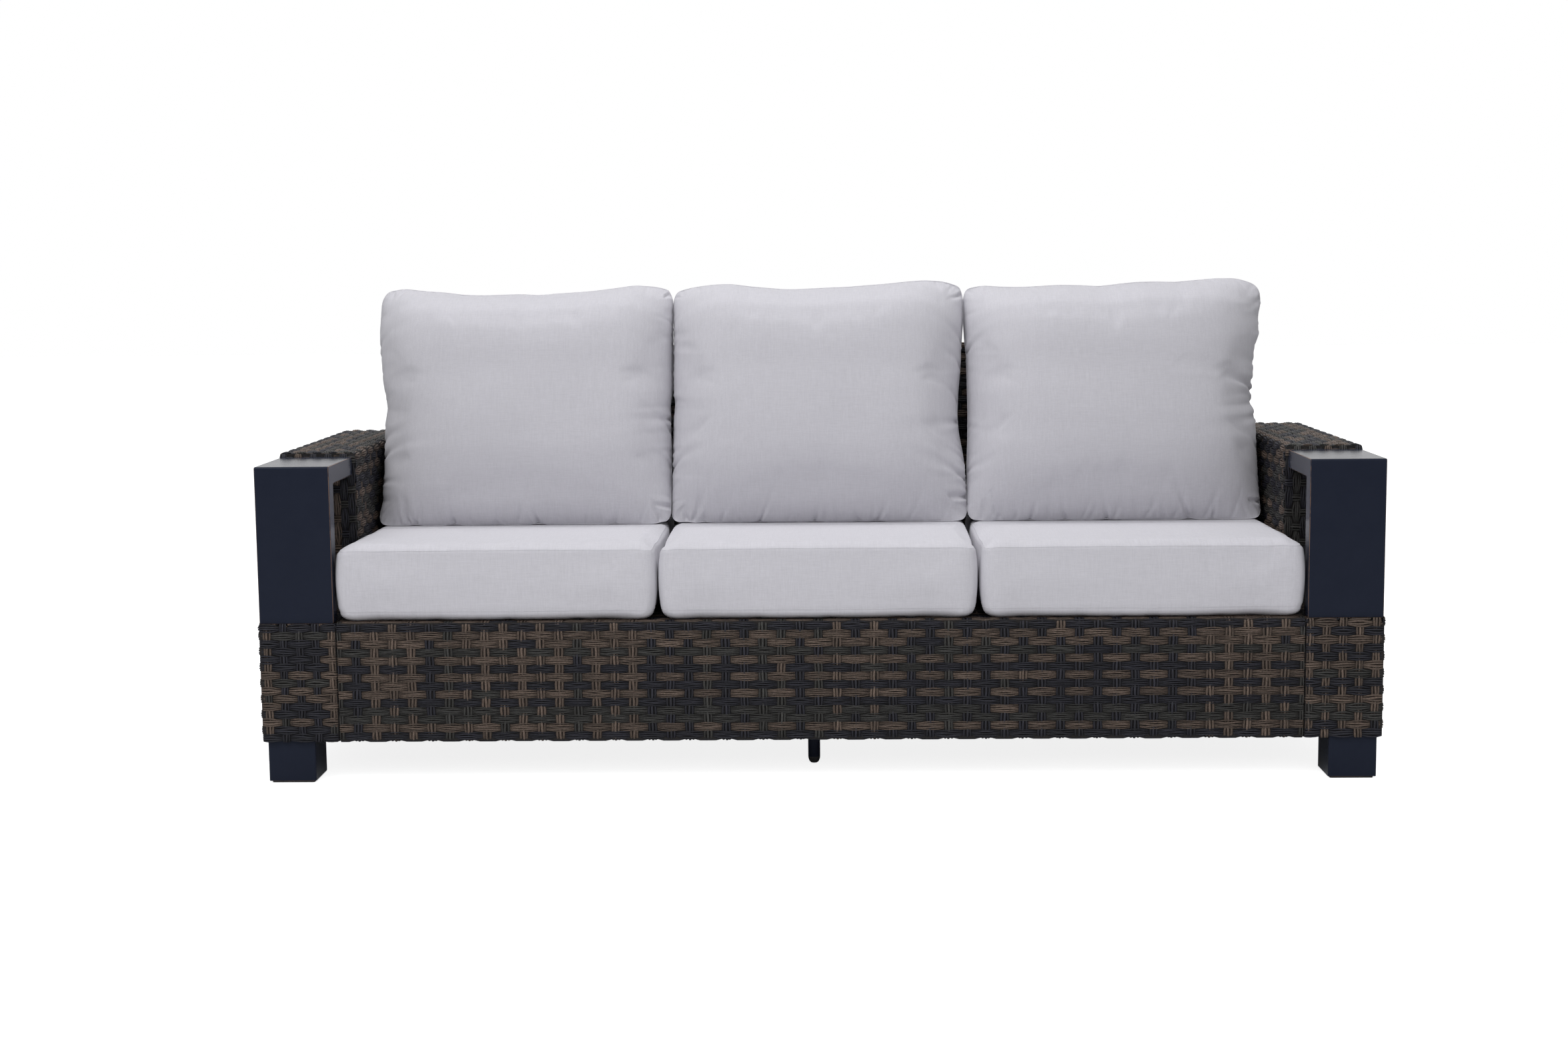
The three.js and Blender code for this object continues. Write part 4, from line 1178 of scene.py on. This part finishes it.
# In mm. Forward: how far the cushion sags forward at its foot. Free: which of its sides, left and right, is
# at an arm. Outlines: for either side, heights and how far the edge lies outside the cushion's half width
# there, and for the top, its heights from left to right. Folds: a share of the edge, depth, reach and width.
BACK_LOOKS = {
    "left": {
        "forward": 14,
        "free": (1, 0),
        "left": [(974, 0), (950, 8), (885, 14), (830, 9), (780, 3), (740, -6), (722, -9), (690, -5),
                 (650, -6), (600, -8), (545, -8), (528, -12), (510, -8), (480, -6)],
        "right": [(974, 0), (950, 0.9), (850, 0.5), (745, 0), (722, -4), (700, -1), (600, 0), (500, 0.9)],
        "top": [977, 983, 978, 975, 969, 967, 968, 969, 967, 971, 973, 976, 980, 986, 983, 975],
        "folds": {
            "bottom": [(0.12, 5, 14, 4), (0.25, 7, 30, 5), (0.4, 4, 12, 4), (0.54, 7, 26, 5), (0.8, 5, 14, 4),
                       (0.95, 8, 34, 6)],
            "left": [(0.06, 8, 26, 7), (0.45, 6, 60, 6), (0.52, 5, 55, 6), (0.36, 4, 40, 6), (0.9, 5, 40, 6)],
            "right": [(0.41, 8, 60, 6), (0.34, 5, 44, 6), (0.03, 7, 36, 7), (0.9, 5, 50, 7), (0.2, 4, 36, 6)],
        },
    },
    "middle": {
        "forward": 0,
        "free": (0, 0),
        "left": [(974, 0), (950, 0.9), (800, 0.5), (745, 0), (722, -4), (700, -1), (600, 0), (500, 0.9)],
        "right": [(974, 0.9), (955, 0.9), (925, 0.9), (895, 0.9), (868, -2), (800, -6), (750, -12),
                  (700, -15), (660, -13), (620, -6), (590, -1), (540, 0.9), (500, 0.5)],
        "top": [970, 980, 986, 987, 981, 977, 974, 975, 977, 978, 981, 984, 988, 991, 988, 976],
        "folds": {
            "bottom": [(0.04, 8, 30, 5), (0.1, 6, 16, 4), (0.28, 7, 28, 4), (0.47, 6, 14, 4),
                       (0.62, 5, 14, 4), (0.68, 6, 22, 5)],
            "left": [(0.41, 8, 54, 6), (0.13, 7, 48, 6), (0.2, 5, 38, 6), (0.5, 4, 44, 6), (0.72, 4, 40, 6)],
            "right": [(0.06, 10, 62, 7), (0.12, 8, 70, 7), (0.2, 5, 50, 6), (0.38, 8, 60, 7),
                      (0.44, 6, 54, 6), (0.58, 5, 50, 6), (0.68, 4, 44, 6), (0.88, 6, 30, 6)],
        },
    },
    "right": {
        "forward": 0,
        "free": (0, 1),
        "left": [(974, 0.9), (944, 0.9), (890, 0.9), (860, -1), (800, -5), (700, -6), (640, -4),
                 (590, -1), (540, 0.5), (500, 0.9)],
        "right": [(980, 2), (960, 12), (927, 14), (905, 8), (867, 9), (848, 1), (830, -4), (780, -9),
                  (740, -14), (722, -16), (700, -9), (660, -6), (600, -8), (540, -9), (480, -8)],
        "top": [972, 978, 975, 974, 976, 978, 977, 974, 979, 983, 983, 982, 986, 990, 989, 978],
        "folds": {
            "bottom": [(0.19, 6, 14, 4), (0.31, 5, 12, 4), (0.45, 7, 24, 4), (0.73, 8, 34, 5),
                       (0.81, 5, 14, 4)],
            "left": [(0.88, 8, 38, 6), (0.09, 7, 44, 6), (0.4, 5, 38, 6), (0.16, 5, 38, 6),
                     (0.6, 4, 34, 6)],
            "right": [(0.47, 11, 76, 7), (0.53, 6, 70, 7), (0.4, 5, 60, 7), (0.6, 4, 50, 7),
                      (0.22, 5, 40, 7), (0.03, 6, 34, 6), (0.75, 5, 34, 6), (0.86, 5, 34, 6)],
        },
    },
}
for number, place in enumerate(BACK_LOOKS):
    seat_cushion("seat_cushion_" + place, SEAT_SEED + number)
for number, (place, looks) in enumerate(BACK_LOOKS.items()):
    back_cushion("back_cushion_" + place, BACK_SEED + number, looks)


# Camera, floor and light

CAMERA_PLACE = (0.03979, -4.70618, 1.04524)
CAMERA_YAW, CAMERA_PITCH, CAMERA_ROLL = (math.radians(a) for a in (-1.41, 6.927, -0.579))
FOCAL_SHARE = 3277.02 / 2351  # focal length over the picture's width
FLOOR_GLOW = 0.84  # what the floor under the sofa adds to its own look where the camera sees it
GLOW_GROWS = (1.2, 4.0)  # distances from the middle between which that goes up to 1
FLOOR_HALF = 20


def make_camera():
    """The camera that the photograph's vanishing points give."""
    data = bpy.data.cameras.new("camera")
    data.sensor_width = 36
    data.lens = FOCAL_SHARE * data.sensor_width
    data.clip_end = 60
    yaw, pitch, roll = CAMERA_YAW, CAMERA_PITCH, CAMERA_ROLL
    forward = Vector((math.sin(yaw) * math.cos(pitch), math.cos(yaw) * math.cos(pitch), -math.sin(pitch)))
    right = Vector((math.cos(yaw), -math.sin(yaw), 0))
    up = right.cross(forward)
    across = math.cos(roll) * right + math.sin(roll) * up
    upward = -math.sin(roll) * right + math.cos(roll) * up
    turn = Matrix((across, upward, -forward)).transposed()
    camera = placed("camera", data)
    camera.matrix_world = Matrix.Translation(CAMERA_PLACE) @ turn.to_4x4()
    bpy.context.scene.camera = camera


def area_light(name, place, target, size, power):
    data = bpy.data.lights.new(name, "AREA")
    data.shape = "RECTANGLE"
    data.size, data.size_y = size
    data.energy = power
    lamp = placed(name, data)
    lamp.location = place
    lamp.rotation_euler = (Vector(target) - Vector(place)).to_track_quat("-Z", "Y").to_euler()


def white_floor():
    """A floor that looks white to the camera from some way off, and keeps the sofa's shadow."""
    graph = Graph("floor")
    place = place_socket(graph)
    tone = graph.noise(place, 3.0, 3.0, 0.5)
    colour = graph.mix(graph.spread(tone, 0.3, 0.7), (0.90, 0.90, 0.90), (0.92, 0.92, 0.92))
    graph.surface({"Base Color": colour, "Roughness": 0.9, "Specular IOR Level": 0.2})
    lit = graph.output.inputs[0].links[0].from_socket
    rays = graph.add("LightPath")
    seen = rays.outputs["Is Camera Ray"]
    away = graph.add("VectorMath", {0: place}, operation="LENGTH").outputs["Value"]
    reach = graph.spread(away, *GLOW_GROWS, FLOOR_GLOW, 1.0)
    glow = graph.add("Emission", {"Strength": graph.math("MULTIPLY", seen, reach)})
    both = graph.add("AddShader", {0: lit, 1: glow.outputs[0]})
    graph.tree.links.new(both.outputs[0], graph.output.inputs[0])
    corners = [(x * FLOOR_HALF, y * FLOOR_HALF, 0) for x, y in ((-1, -1), (1, -1), (1, 1), (-1, 1))]
    floor = mesh_object("floor", corners, [(0, 1, 2, 3)], graph.material)


def make_world():
    """White to the camera and in what mirrors it, and dimmer as light."""
    world = bpy.data.worlds.new("studio")
    bpy.context.scene.world = world
    world.use_nodes = True
    tree = world.node_tree
    shown = tree.nodes["Background"]
    shown.inputs["Color"].default_value = (1, 1, 1, 1)
    lit = tree.nodes.new("ShaderNodeBackground")
    lit.inputs["Color"].default_value = (0.97, 0.98, 1, 1)
    lit.inputs["Strength"].default_value = 0.25
    rays = tree.nodes.new("ShaderNodeLightPath")
    mix = tree.nodes.new("ShaderNodeMixShader")
    mirrored = tree.nodes.new("ShaderNodeBackground")
    mirrored.inputs["Strength"].default_value = 1.0
    shiny = tree.nodes.new("ShaderNodeMixShader")
    tree.links.new(rays.outputs["Is Glossy Ray"], shiny.inputs[0])
    tree.links.new(lit.outputs[0], shiny.inputs[1])
    tree.links.new(mirrored.outputs[0], shiny.inputs[2])
    tree.links.new(rays.outputs["Is Camera Ray"], mix.inputs[0])
    tree.links.new(shiny.outputs[0], mix.inputs[1])
    tree.links.new(shown.outputs[0], mix.inputs[2])
    tree.links.new(mix.outputs[0], tree.nodes["World Output"].inputs[0])


make_camera()
make_world()
white_floor()
area_light("key", (-2.3, -3.5, 4.3), (0, 0, 0.5), (3.0, 2.2), 104)
area_light("fill", (0.8, -3.8, 2.2), (0, 0, 0.4), (2.4, 1.6), 30)
area_light("top", (0, 0.35, 3.8), (0, 0.2, 0.4), (4.0, 2.6), 82)

bpy.context.scene.view_settings.view_transform = "Standard"

FINISHES = {
    "arm_cap": BRONZE, "leg": BRONZE, "middle_leg": BRONZE, "glide": PLASTIC, "middle_foot": PLASTIC,
    "arm_bolt": STEEL, "back_bolt": STEEL, "seat_cushion": LINEN, "back_cushion": BACK_LINEN_PAINTED_SHADE,
    "arm_weave": SHADE_SHEET, "apron_weave": SHADE_SHEET, "back_weave": SHADE_SHEET, "seat_deck_weave": SHADE_SHEET,
}
for name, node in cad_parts.items():
    kind = max((start for start in FINISHES if name.startswith(start)), key=len, default=None)
    node.data.materials.clear()
    node.data.materials.append(FINISHES[kind] if kind else ALUMINIUM)
